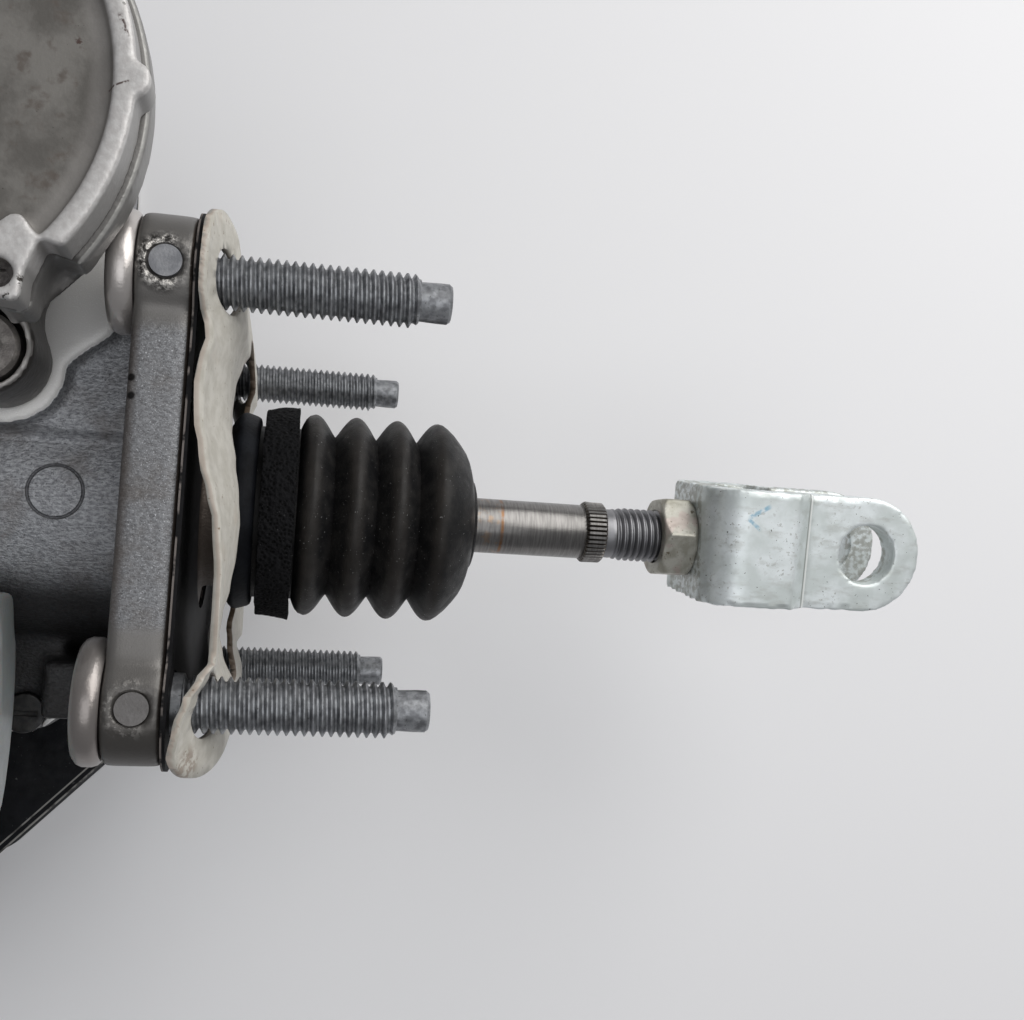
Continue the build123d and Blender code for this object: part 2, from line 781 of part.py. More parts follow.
def motor_cover_screws():
    """Headless screws sunk in the cover's ears."""
    screws = []
    for x, y, _ in ear_places():
        screw = rod_z(ear_hole_r, cover_z - 3.8, cover_top_z - ear_screw_drop, x, y)
        socket = Pos(x, y, cover_top_z - ear_screw_drop - 1.2) * extrude(RegularPolygon(1.1, 6), amount=2)
        screws.append(screw - socket)
    return Compound(screws)


def stator_outer_r():
    """The stator's outside, shrunk into the motor housing."""
    return motor_foot_r - motor_wall - shrink_gap


def stator_bore_r():
    """The circle that the tooth tips stand on."""
    return stator_outer_r() - stator_yoke - tooth_len


def stator_core():
    """Laminated ring with its teeth pointing at the rotor."""
    outer, inner = stator_outer_r(), stator_bore_r()
    yoke = Circle(outer) - Circle(outer - stator_yoke)
    for i in range(stator_teeth):
        tooth = Pos((outer + inner) / 2, 0) * Rectangle(outer - inner, tooth_width)
        yoke += Rot(0, 0, i * 360 / stator_teeth) * (tooth & Circle(outer))
    yoke -= Circle(inner)
    return Pos(motor_x, motor_y, stator_z) * extrude(yoke, amount=stator_len)


def stator_windings():
    """One coil round each tooth."""
    outer = stator_outer_r() - stator_yoke - coil_clear
    inner = stator_bore_r() + tooth_tip
    width = tooth_width + 2 * coil_thick
    coils = []
    for i in range(stator_teeth):
        r = (outer + inner) / 2
        coil = Pos(r, 0, stator_len / 2) * Box(outer - inner, width, stator_len + 2 * coil_overhang)
        coil -= Pos(r, 0, stator_len / 2) * Box(outer, tooth_width, stator_len)
        coils.append(Pos(motor_x, motor_y, stator_z) * Rot(0, 0, i * 360 / stator_teeth) * coil)
    return Compound(coils)


def bearing_ring(r_in, r_out):
    z0, z1 = pad_z, pad_z + bearing_width
    ring = turned_z([(r_in, z0), (r_out, z0), (r_out, z1), (r_in, z1)], motor_x, motor_y)
    pitch = (bearing_bore_r + bearing_outer_r) / 2
    return ring - Pos(motor_x, motor_y, (z0 + z1) / 2) * Torus(pitch, ball_size() + sliding_gap)


def ball_size():
    """Radius of the bearing's balls: they fill the gap between the rings' grooves."""
    return (bearing_outer_r - bearing_bore_r) / 2 - bearing_race + 0.7


def bearing_ball_set():
    pitch = (bearing_bore_r + bearing_outer_r) / 2
    balls = []
    for i in range(bearing_balls):
        x, y = polar(motor_x, motor_y, pitch, i * 360 / bearing_balls)
        balls.append(Pos(x, y, pad_z + bearing_width / 2) * Sphere(ball_size()))
    return Compound(balls)


def rotor_hub():
    """Cup that carries the magnets and clamps the ball nut, seated in the bearing."""
    back_r = stator_bore_r() - air_gap - magnet_thick
    z_low = pad_z + bearing_width + 0.5
    z_high = stator_z + stator_len
    cup = turned_z([(nut_body_r, pad_z), (bearing_bore_r, pad_z), (bearing_bore_r, z_low), (back_r, z_low),
                    (back_r, z_high), (back_r - rotor_web_thick, z_high),
                    (back_r - rotor_web_thick, z_low + rotor_web_thick),
                    (hub_r, z_low + rotor_web_thick), (hub_r, z_high - 1), (nut_body_r, z_high - 1)],
                   motor_x, motor_y)
    return cup


def rotor_magnets():
    back_r = stator_bore_r() - air_gap - magnet_thick
    arcs = []
    step = 360 / magnets
    for i in range(magnets):
        ring = Circle(back_r + magnet_thick) - Circle(back_r)
        half = step * magnet_spread / 2
        far = 2 * back_r
        wedge = make_face(Polyline((0, 0), (far * cos(radians(half)), far * sin(radians(half))),
                                   (far * cos(radians(half)), -far * sin(radians(half))), close=True))
        arc = extrude(ring & wedge, amount=stator_len)
        arcs.append(Pos(motor_x, motor_y, stator_z) * Rot(0, 0, i * step) * arc)
    return Compound(arcs)


def ball_nut():
    z0, z1 = pad_z + 1, stator_z + stator_len - 1
    nut = rod_z(nut_body_r, z0, z1, motor_x, motor_y)
    return nut - rod_z(screw_r + screw_gap, z0 - 1, z1 + 1, motor_x, motor_y)


def screw_spindle():
    top = cover_z - cover_spigot + 1.0
    spindle = rod_z(screw_r, plunger_top_z - plunger_len + plunger_wall, top, motor_x, motor_y)
    return chamfer(spindle.edges().group_by(Axis.Z)[-1], 1.0)


def pressure_plunger():
    """Cup that the ball screw pushes down into the block."""
    z0 = plunger_top_z - plunger_len
    cup = rod_z(plunger_r - running_gap, z0, plunger_top_z, motor_x, motor_y)
    cup -= rod_z(plunger_r - plunger_wall, z0 + plunger_wall + 6, plunger_top_z + 1, motor_x, motor_y)
    return cup - rod_z(screw_r, z0 + plunger_wall, plunger_top_z, motor_x, motor_y)


def plunger_seal_places():
    return [plunger_top_z - plunger_len + 4, plunger_top_z - plunger_len + 14]


def plunger_seals():
    rings = []
    for z in plunger_seal_places():
        ring = rod_z(plunger_r + seal_depth, z, z + seal_width, motor_x, motor_y)
        hole_r = plunger_r - running_gap + seal_gap
        rings.append(ring - rod_z(hole_r, z - 1, z + 2 * seal_width, motor_x, motor_y))
    return Compound(rings)


# ---- pedal feel simulator ----

def simulator_piston():
    z0 = sim_floor_z + 0.5
    piston = rod_z(sim_bore_r - running_gap, z0, z0 + sim_piston_len, sim_x, sim_y)
    return piston - rod_z(spring_r + 3, sim_floor_z + sim_seat_z, sim_top_z, sim_x, sim_y)


def simulator_spring():
    z0 = sim_floor_z + sim_seat_z + spring_gap
    length = sim_top_z - spring_gap - z0
    return Pos(sim_x, sim_y, z0) * helix_spring(spring_r, spring_wire_r, length, 4)


def simulator_cap():
    r = sim_bore_r + sim_wall
    cap = rod_z(r, sim_top_z, sim_top_z + sim_cap_thick, sim_x, sim_y)
    cap = chamfer(cap.edges().group_by(Axis.Z)[-1], 1.2)
    socket = extrude(RegularPolygon(sim_hex_r, 6), amount=sim_cap_thick)
    return cap - Pos(sim_x, sim_y, sim_top_z + sim_cap_floor) * socket


# ---- control unit ----

def unit_outline(grow=0.0):
    """The control unit seen from above: cut corner at the flange, step beside the motor."""
    points = [(unit_right_x, unit_low_y + unit_chamfer), (unit_right_x - unit_chamfer, unit_low_y),
              (unit_left_x, unit_low_y), (unit_left_x, unit_top_y), (unit_notch_x, unit_top_y),
              (unit_notch_x, unit_notch_y), (unit_right_x, unit_notch_y - 13)]
    outline = make_face(Polyline(*points, close=True))
    outline = fillet(outline.vertices(), unit_corner_r)
    return offset(outline, amount=grow) if grow else outline


def unit_screw_places():
    """The screws that hold the control unit to the block, as (x, y)."""
    inset = unit_screw_inset
    xs = (block_left_x + inset, block_right_x - inset - 2)
    return [(xs[0], block_low_y + inset), (xs[1], block_low_y + inset), (xs[0], block_top_y - inset),
            (block_far_x - inset - 4, block_top_y - inset)]


def control_unit_case():
    top_z = block_low_z
    low_z = unit_low_z + unit_lid_thick
    case = extrude(Pos(0, 0, low_z) * unit_outline(), amount=top_z - low_z)
    cavity = extrude(Pos(0, 0, low_z - 1) * unit_outline(-unit_wall), amount=top_z - low_z + 1 - unit_wall)
    case -= cavity
    reach = coil_r + window_margin
    window = block(valve_first_x - reach, valve_first_x + (valve_cols - 1) * valve_pitch_x + reach,
                   valve_first_y - reach, valve_first_y + (valve_rows - 1) * valve_pitch_y + reach,
                   top_z - unit_wall - 1, top_z + 1)
    case -= window
    for x, y in unit_screw_places():
        case -= rod_z(unit_screw_r, top_z - unit_wall - 1, top_z + 1, x, y)
    # connector shroud
    y0, y1 = connector_y - connector_long / 2, connector_y + connector_long / 2
    x0, x1 = connector_x - connector_wide / 2, connector_x + connector_wide / 2
    shroud = block(x0, x1, y0, y1, top_z - unit_wall / 2, top_z + connector_high)
    shroud = fillet(shroud.edges().filter_by(Axis.Z), 2.5)
    w = connector_wall
    case += shroud
    case -= block(x0 + w, x1 - w, y0 + w, y1 - w, top_z, top_z + connector_high + 1)
    for x, y in pin_places():
        case -= block(x - pin_half, x + pin_half, y - pin_half, y + pin_half, low_z, top_z + 1)
    return case


def control_unit_lid():
    return extrude(Pos(0, 0, unit_low_z) * unit_outline(unit_lip), amount=unit_lid_thick)


def pin_places():
    xs = [connector_x + (i - (pin_rows - 1) / 2) * pin_pitch for i in range(pin_rows)]
    ys = [connector_y + (j - (pin_columns - 1) / 2) * pin_pitch for j in range(pin_columns)]
    return [(x, y) for x in xs for y in ys]


def connector_pins():
    z0 = board_z + board_thick
    return Compound([block(x - pin_half, x + pin_half, y - pin_half, y + pin_half, z0, block_low_z + pin_high)
                     for x, y in pin_places()])


def circuit_board():
    return extrude(Pos(0, 0, board_z) * unit_outline(-board_margin), amount=board_thick)


def unit_screws():
    screws = []
    head_z = block_low_z - unit_wall
    for x, y in unit_screw_places():
        shank = rod_z(unit_screw_r, head_z - 0.1, block_low_z + unit_screw_reach, x, y)
        screws.append(shank + rod_z(unit_screw_head_r, head_z - unit_screw_head_len, head_z, x, y))
    return Compound(screws)


def valve_cartridges():
    bodies = []
    for x, y in valve_places():
        body = rod_z(valve_r, block_low_z, block_low_z + valve_depth - 1, x, y)
        bodies.append(body + rod_z(valve_r - 1.2, block_low_z - valve_stem, block_low_z, x, y))
    return Compound(bodies)


def valve_coils():
    coils = []
    z1 = block_low_z - coil_lift
    for x, y in valve_places():
        coil = rod_z(coil_r, z1 - coil_len, z1, x, y)
        coils.append(coil - rod_z(valve_r - 1.2, z1 - coil_len - 1, z1 + 1, x, y))
    return Compound(coils)


# ---- reservoir ----

def tank_shape(shrink=0.0):
    """The tank with its shallow lobe that lies over the block, outside or inside the wall."""
    s = shrink
    tank = block(tank_left_x + s, tank_right_x - s, tank_low_y + s, tank_top_y - s,
                 tank_low_z + s, tank_high_z - s)
    tank = fillet(tank.edges().filter_by(Axis.Y), tank_corner_r - s)
    z0, z1 = lobe_low_z + s, tank_high_z - s
    x0, x1 = lobe_left_x + s, lobe_right_x - s
    y0, y1 = tank_top_y - 12, lobe_top_y - s
    side = ThreePointArc((x1 - lobe_bulge, y0), (x1, (y0 + y1) / 2 + 4), (x1 - lobe_bulge, y1))
    edge = Polyline((x1 - lobe_bulge, y1), (x0, y1), (x0, y0), (x1 - lobe_bulge, y0))
    lobe = extrude(Pos(0, 0, z0) * make_face(Curve() + [side, edge]), amount=z1 - z0)
    return tank + lobe


def reservoir_body():
    body = tank_shape() - tank_shape(tank_wall)
    body += rod_y(neck_r, tank_low_y - neck_len, tank_low_y + tank_wall, neck_x, 0)
    body -= rod_y(neck_r - tank_wall, tank_low_y - neck_len - 1, tank_low_y + tank_wall + 1, neck_x, 0)
    guide_end = float_top_y - float_len - float_stroke - 1
    body += rod_y(guide_r, guide_end, tank_top_y - tank_wall / 2, float_x, 0)
    for x in feed_xs:
        body += rod_y(feed_r, tank_top_y - tank_wall, block_low_y + feed_len - 1, x, 0)
        body -= rod_y(feed_r - 1.5, tank_top_y - tank_wall - 1, block_low_y + feed_len, x, 0)
    return body


def feed_grommets():
    rings = []
    for x in feed_xs:
        ring = rod_y(feed_r + grommet_wall, block_low_y, block_low_y + feed_len - 0.5, x, 0)
        ring += rod_y(feed_r + grommet_wall + 1.6, tank_top_y + 0.5, block_low_y, x, 0)
        rings.append(ring - rod_y(feed_r, tank_top_y - 1, block_low_y + feed_len, x, 0))
    return Compound(rings)


def reservoir_cap():
    """Turned cap with finger grips, its skirt outside the neck."""
    y1 = tank_low_y - 0.8
    y0 = tank_low_y - neck_len - cap_wall - cap_gap
    cap = rod_y(cap_r, y0, y1, neck_x, 0)
    cap -= rod_y(neck_r + cap_gap, y0 + cap_wall, y1 + 1, neck_x, 0)
    for i in range(cap_grips):
        x, z = polar(neck_x, 0, cap_r + cap_grip_out, i * 360 / cap_grips)
        cap -= rod_y(cap_grip_r, y0 - 1, y1 + 1, x, z)
    return cap


def level_float():
    ring = rod_y(float_r, float_top_y - float_len, float_top_y, float_x, 0)
    return ring - rod_y(guide_r + guide_gap, float_top_y - float_len - 1, float_top_y + 1, float_x, 0)


def block_plug():
    """Slotted plug in the block's top."""
    plug = rod_z(plug_r, block_top_z - plug_len, block_top_z + plug_stand, plug_x, plug_y)
    x0, x1 = plug_x - plug_slot_len / 2, plug_x + plug_slot_len / 2
    y0, y1 = plug_y - plug_slot / 2, plug_y + plug_slot / 2
    return plug - block(x0, x1, y0, y1, block_top_z + 0.2, block_top_z + 2)


# ---- assembly ----

add("main_housing", main_housing())
add("mounting_studs", mounting_studs())
add("stud_cross_pins", cross_pins())
add("insulating_gasket", gasket(-insulator_thick, insulator_thick, insulator_margin, insulator_hole_r))
add("face_gasket", gasket(gasket_gap, gasket_thick, gasket_margin, gasket_hole_r))
add("boot_collar", boot_collar())
add("foam_ring", foam_ring())
add("dust_boot", dust_boot())
add("piston_stop_ring", stop_ring())
add("piston_seals", piston_seals())
add("primary_piston", primary_piston())
add("ball_retainer", ball_retainer())
add("push_rod", push_rod())
add("jam_nut", jam_nut())
add("clevis", clevis())
add("primary_spring", spring_between(secondary_rear_x, piston_front_x + spring_well_depth, 6))
add("secondary_piston", secondary_piston())
add("secondary_spring", spring_between(bore_end_x, secondary_front_x + spring_well_depth / 2, 5))
add("motor_housing", motor_housing())
add("motor_housing_screws", motor_housing_screws())
add("motor_cover", motor_cover())
add("motor_cover_screws", motor_cover_screws())
add("stator_core", stator_core())
add("stator_windings", stator_windings())
add("bearing_outer_ring", bearing_ring(bearing_outer_r - bearing_race, bearing_outer_r))
add("bearing_inner_ring", bearing_ring(bearing_bore_r, bearing_bore_r + bearing_race))
add("bearing_balls", bearing_ball_set())
add("rotor_hub", rotor_hub())
add("rotor_magnets", rotor_magnets())
add("ball_nut", ball_nut())
add("screw_spindle", screw_spindle())
add("pressure_plunger", pressure_plunger())
add("plunger_seals", plunger_seals())
add("simulator_piston", simulator_piston())
add("simulator_spring", simulator_spring())
add("simulator_cap", simulator_cap())
add("control_unit_case", control_unit_case())
add("control_unit_lid", control_unit_lid())
add("control_unit_screws", unit_screws())
add("circuit_board", circuit_board())
add("connector_pins", connector_pins())
add("valve_cartridges", valve_cartridges())
add("valve_coils", valve_coils())
add("reservoir_body", reservoir_body())
add("feed_grommets", feed_grommets())
add("reservoir_cap", reservoir_cap())
add("level_float", level_float())
add("block_plug", block_plug())

for name, shape in nodes.items():
    export_step(shape, f"parts/{name}.step")
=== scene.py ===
from math import cos, hypot, pi, radians, sin, tau

import bmesh
import bpy
from mathutils import Matrix, Vector, noise


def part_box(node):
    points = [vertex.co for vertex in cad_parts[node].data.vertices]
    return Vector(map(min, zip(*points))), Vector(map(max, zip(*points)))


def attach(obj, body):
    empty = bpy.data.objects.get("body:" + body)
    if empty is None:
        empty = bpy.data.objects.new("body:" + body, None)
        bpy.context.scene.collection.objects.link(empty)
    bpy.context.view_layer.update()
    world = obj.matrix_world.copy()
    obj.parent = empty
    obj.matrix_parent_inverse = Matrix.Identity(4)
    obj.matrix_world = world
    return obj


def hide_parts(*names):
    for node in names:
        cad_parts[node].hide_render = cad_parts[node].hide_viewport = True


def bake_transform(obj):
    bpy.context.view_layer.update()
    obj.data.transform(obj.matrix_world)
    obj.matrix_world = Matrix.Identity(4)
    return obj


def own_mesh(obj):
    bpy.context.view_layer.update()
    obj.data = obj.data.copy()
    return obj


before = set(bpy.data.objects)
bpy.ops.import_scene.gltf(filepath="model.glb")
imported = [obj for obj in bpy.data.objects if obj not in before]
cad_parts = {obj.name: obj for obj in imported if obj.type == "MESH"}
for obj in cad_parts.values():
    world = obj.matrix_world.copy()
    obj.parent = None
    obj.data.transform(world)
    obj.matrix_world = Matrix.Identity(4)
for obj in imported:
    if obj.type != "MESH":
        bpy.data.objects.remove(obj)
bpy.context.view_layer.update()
scene = bpy.context.scene

# ---- The bench ----
# The booster lies on its control unit on a pale table, seen from above through the camera.
# A very broad soft lamp stands beyond the motor, with a weaker one overhead.
MM = 0.001
table_level, table_half = -74.1, 1600
eye = Vector((13.99, -13.08, 203.13))
right = Vector((0.9787, 0.0504, 0.1990))
up = Vector((-0.0649, 0.9956, 0.0670))
camera_data = bpy.data.cameras.new("camera")
camera_data.sensor_width = 36.0
camera_data.lens = 39.40
camera_data.clip_start = 0.01
camera = bpy.data.objects.new("camera", camera_data)
scene.collection.objects.link(camera)
look = Matrix((right, up, right.cross(up))).transposed().to_4x4()
camera.matrix_world = Matrix.Translation(eye * MM) @ look
scene.camera = camera
scene.view_settings.view_transform = "Standard"

world = bpy.data.worlds.new("studio")
world.use_nodes = True
room = world.node_tree.nodes["Background"]
room.inputs["Color"].default_value = (0.86, 0.87, 0.90, 1)
room.inputs["Strength"].default_value = 0.26
scene.world = world


def lamp(name, place, target, size, power, colour):
    """A square soft lamp that looks at a point, both in millimetres."""
    data = bpy.data.lights.new(name, "AREA")
    data.size = size * MM
    data.energy = power
    data.color = colour
    light = bpy.data.objects.new(name, data)
    light.location = Vector(place) * MM
    light.rotation_euler = (Vector(target) - Vector(place)).to_track_quat("-Z", "Y").to_euler()
    scene.collection.objects.link(light)


lamp("window", (510, 470, 530), (70, 30, -40), 850, 6.8, (1.0, 0.99, 0.97))
lamp("ceiling", (60, -170, 950), (40, 0, 0), 700, 1.9, (0.97, 0.98, 1.0))

table_mesh = bmesh.new()
bmesh.ops.create_grid(table_mesh, x_segments=1, y_segments=1, size=table_half * MM)
bmesh.ops.translate(table_mesh, vec=(0, 0, table_level * MM), verts=table_mesh.verts)
table_data = bpy.data.meshes.new("table")
table_mesh.to_mesh(table_data)
table_mesh.free()
table = bpy.data.objects.new("table", table_data)
scene.collection.objects.link(table)
white_board = bpy.data.materials.new("white_board")
white_board.use_nodes = True
board = white_board.node_tree.nodes["Principled BSDF"]
board.inputs["Base Color"].default_value = (0.83, 0.83, 0.845, 1)
board.inputs["Roughness"].default_value = 0.6
table_data.materials.append(white_board)

# ---- Main housing ----
# One aluminium casting: the flange, the master cylinder's barrel, the block and the motor's pad.
# The foundry skin is rough and melts round every corner. The motor's pad is milled bright, and the
# casting is peened rough round the pins in the flange's edge.
# Painted shade darkens the casting under the barrel, behind the flange's face, on the flange's lower lobe and
# in the cast mark's groove.


def copy_of(node):
    """A CAD node's mesh as one merged skin, in millimetres."""
    mesh = bmesh.new()
    mesh.from_mesh(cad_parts[node].data)
    bmesh.ops.scale(mesh, vec=(1 / MM,) * 3, verts=mesh.verts)
    bmesh.ops.remove_doubles(mesh, verts=mesh.verts, dist=0.002)
    return mesh


def melted(mesh, cell, rounds, share=1.0):
    """The same body remade in even cells and smoothed, so its corners get foundry radii."""
    data = bpy.data.meshes.new("melt")
    mesh.to_mesh(data)
    mesh.free()
    body = bpy.data.objects.new("melt", data)
    scene.collection.objects.link(body)
    cells = body.modifiers.new("cells", "REMESH")
    cells.mode = "VOXEL"
    cells.voxel_size = cell
    ease = body.modifiers.new("ease", "SMOOTH")
    ease.factor = 0.5
    ease.iterations = rounds
    if share < 1:
        thin = body.modifiers.new("thin", "DECIMATE")
        thin.ratio = share
    evaluated = body.evaluated_get(bpy.context.evaluated_depsgraph_get())
    made = bmesh.new()
    made.from_mesh(evaluated.data)
    bpy.data.objects.remove(body)
    return made


def make_piece(name, mesh, finish, body, slot, *replaced, sharp=40):
    """Turn a mesh drawn in millimetres into a finished piece that rides on a body, if one is named."""
    bmesh.ops.remove_doubles(mesh, verts=mesh.verts, dist=0.0015)
    bmesh.ops.recalc_face_normals(mesh, faces=mesh.faces)
    bmesh.ops.scale(mesh, vec=(MM,) * 3, verts=mesh.verts)
    data = bpy.data.meshes.new(name)
    mesh.to_mesh(data)
    mesh.free()
    data.shade_smooth()
    data.set_sharp_from_angle(angle=radians(sharp))
    data.materials.append(finish)
    piece = bpy.data.objects.new(name, data)
    scene.collection.objects.link(piece)
    if body:
        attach(piece, body)
    if replaced:
        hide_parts(*replaced)
    return piece


def new_finish(name, colour, roughness, metal=0.0, **sockets):
    """A material whose even values sit on its shader."""
    finish = bpy.data.materials.new(name)
    finish.use_nodes = True
    shader = finish.node_tree.nodes["Principled BSDF"]
    shader.inputs["Base Color"].default_value = (*colour, 1)
    shader.inputs["Roughness"].default_value = roughness
    shader.inputs["Metallic"].default_value = metal
    for socket, value in sockets.items():
        shader.inputs[socket.replace("_", " ")].default_value = value
    return finish


def spot(finish, stretch=(1, 1, 1)):
    """The place on the piece, in millimetres, stretched along its axes."""
    tree = finish.node_tree
    where = tree.nodes.new("ShaderNodeTexCoord")
    scaled = tree.nodes.new("ShaderNodeMapping")
    scaled.inputs["Scale"].default_value = [value / MM for value in stretch]
    tree.links.new(where.outputs["Object"], scaled.inputs["Vector"])
    return scaled.outputs["Vector"]


def cloud(finish, scale, detail=3.0, stretch=(1, 1, 1), rough=0.55):
    """Soft noise from 0 to 1. Scale is in patches per millimetre."""
    tree = finish.node_tree
    made = tree.nodes.new("ShaderNodeTexNoise")
    made.inputs["Scale"].default_value = scale
    made.inputs["Detail"].default_value = detail
    made.inputs["Roughness"].default_value = rough
    tree.links.new(spot(finish, stretch), made.inputs["Vector"])
    return made.outputs["Fac"]


def along(finish, axis):
    """How far along X, Y or Z a place is, in millimetres."""
    tree = finish.node_tree
    split = tree.nodes.new("ShaderNodeSeparateXYZ")
    tree.links.new(spot(finish), split.inputs["Vector"])
    return split.outputs[axis]


def away(finish, x, y, z=0.0, flat=(1, 1, 0)):
    """How far a place is from a point, counted along the chosen axes, in millimetres."""
    tree = finish.node_tree
    shift = tree.nodes.new("ShaderNodeVectorMath")
    shift.operation = "SUBTRACT"
    tree.links.new(spot(finish), shift.inputs[0])
    shift.inputs[1].default_value = (x, y, z)
    press = tree.nodes.new("ShaderNodeVectorMath")
    press.operation = "MULTIPLY"
    tree.links.new(shift.outputs[0], press.inputs[0])
    press.inputs[1].default_value = flat
    length = tree.nodes.new("ShaderNodeVectorMath")
    length.operation = "LENGTH"
    tree.links.new(press.outputs[0], length.inputs[0])
    return length.outputs["Value"]


def feed(value, socket):
    """Wire a value, or set it where it is a plain number."""
    if isinstance(value, bpy.types.NodeSocket):
        socket.id_data.links.new(value, socket)
    else:
        socket.default_value = value


def sums(kind, a, b=0.0):
    """Simple arithmetic on two values, of which one may be a plain number."""
    wired = a if isinstance(a, bpy.types.NodeSocket) else b
    made = wired.id_data.nodes.new("ShaderNodeMath")
    made.operation = kind
    feed(a, made.inputs[0])
    feed(b, made.inputs[1])
    return made.outputs[0]


def both(*shares):
    """The share of a place where all of these hold at once."""
    made = shares[0]
    for share in shares[1:]:
        made = sums("MULTIPLY", made, share)
    return made


def either(*shares):
    """The largest of several shares."""
    made = shares[0]
    for share in shares[1:]:
        made = sums("MAXIMUM", made, share)
    return made


def nearest(*gaps):
    """The smallest of several distances."""
    made = gaps[0]
    for gap in gaps[1:]:
        made = sums("MINIMUM", made, gap)
    return made


def rise(value, low, high, start=0.0, end=1.0):
    """A smooth step of a value from start to end between two limits."""
    made = value.id_data.nodes.new("ShaderNodeMapRange")
    made.interpolation_type = "SMOOTHSTEP"
    feed(value, made.inputs["Value"])
    for limit, socket in ((low, "From Min"), (high, "From Max"), (start, "To Min"), (end, "To Max")):
        made.inputs[socket].default_value = limit
    return made.outputs["Result"]


def tint(share, low, high):
    """Mix two colours by a share from 0 to 1."""
    made = share.id_data.nodes.new("ShaderNodeMix")
    made.data_type = "RGBA"
    feed(share, made.inputs[0])
    for colour, socket in ((low, made.inputs[6]), (high, made.inputs[7])):
        feed(colour if isinstance(colour, bpy.types.NodeSocket) else (*colour, 1), socket)
    return made.outputs[2]


def layered(tone, *layers):
    """A tone with more colours laid over it in turn, each by its own share."""
    for share, colour in layers:
        tone = tint(share, tone, colour)
    return tone


def relief(finish, height, depth, strength=1.0):
    """Raise the surface by a pattern, on top of any relief it has. Depth is in millimetres."""
    tree = finish.node_tree
    shader = tree.nodes["Principled BSDF"]
    bump = tree.nodes.new("ShaderNodeBump")
    bump.inputs["Strength"].default_value = strength
    bump.inputs["Distance"].default_value = depth * MM
    feed(height, bump.inputs["Height"])
    before = shader.inputs["Normal"].links
    if before:
        tree.links.new(before[0].from_socket, bump.inputs["Normal"])
    tree.links.new(bump.outputs["Normal"], shader.inputs["Normal"])


def show(finish, colour, roughness=None, metal=None):
    """Wire the finish's patterns to its shader."""
    shader = finish.node_tree.nodes["Principled BSDF"]
    for value, socket in ((colour, "Base Color"), (roughness, "Roughness"), (metal, "Metallic")):
        if value is not None:
            finish.node_tree.links.new(value, shader.inputs[socket])


flange_front, flange_middle, flange_edge = -9.0, 1.0, 45.5
pin_x, stud_y = -4.6, 30
mark_x, mark_y, mark_r = -20.6, -0.5, 4.0
pad_level, pad_end = 27.7, -13.3
block_level, block_side = 9.9, -33.0

cast_skin = new_finish("cast_skin", (0.3, 0.3, 0.31), 0.48, 0.6)
flecks = cloud(cast_skin, 2.4, 3.0, stretch=(0.55, 1.0, 1.0), rough=0.62)
grains = cloud(cast_skin, 5.0, 2.0, rough=0.6)
dents = cloud(cast_skin, 1.1, 3.0, rough=0.6)
cast_x, cast_y, cast_z = (along(cast_skin, axis) for axis in "XYZ")
is_flange = rise(cast_x, flange_front - 0.6, flange_front + 0.6)
on_edge = rise(cast_z, flange_edge - 1.5, flange_edge)
from_middle = sums("ABSOLUTE", sums("SUBTRACT", cast_y, flange_middle))
lobe_ends = both(rise(from_middle, 19.0, 22.0), is_flange)
# Painted shade: the flange darkens towards its lower lobe, the side away from the light.
painted_shade_low_lobe = both(rise(cast_y, -20.0, -36.0, 0.0, 0.8), is_flange)
front_corner = both(is_flange, rise(cast_x, -6.9, -8.3, 0.0, 0.6))
# Painted shade, tinted brown: the casting behind the flange's face is darkened in the gap behind the gasket.
painted_shade_rear_face = rise(cast_x, -1.35, -1.15)
# Painted shade: the casting under the barrel is darkened almost to black.
painted_shade_under_barrel = both(rise(cast_y, -10.5, -17.0), rise(cast_x, flange_front, flange_front - 0.6), 0.9)
old_oil = rise(cloud(cast_skin, 0.16, 4.0), 0.46, 0.74, 0.0, 0.5)
mark_gap = sums("ABSOLUTE", sums("SUBTRACT", away(cast_skin, mark_x, mark_y), mark_r))
# The cast mark's ring groove, also painted dark as shade in the groove.
mark = both(rise(mark_gap, 0.30, 0.10), rise(cast_z, 20.0, 21.0))
pad_top = both(rise(cast_z, pad_level - 0.25, pad_level), rise(cast_x, pad_end + 0.5, pad_end))
block_top = both(rise(cast_z, block_level - 0.7, block_level - 0.3),
                 rise(cast_z, block_level + 0.7, block_level + 0.3),
                 rise(cast_y, block_side + 0.3, block_side - 0.3))
milled = either(pad_top, block_top)
worked_face = either(milled, lobe_ends)
to_pin = nearest(away(cast_skin, pin_x, stud_y), away(cast_skin, pin_x, -stud_y))
peened = both(rise(to_pin, 2.3, 2.6), rise(to_pin, 4.6, 3.2), rise(cast_x, -2.6, -4.2, 0.25, 1.0), on_edge,
              rise(cast_y, -20.0, 20.0, 0.22, 1.0))
to_pock = nearest(away(cast_skin, -8.05, 14.1), away(cast_skin, -7.9, 11.6))
flange_tone = tint(rise(flecks, 0.30, 0.70), (0.15, 0.15, 0.155), (0.255, 0.26, 0.27))
mill_tone = tint(rise(grains, 0.55, 0.72), (0.80, 0.79, 0.77), (0.92, 0.92, 0.91))
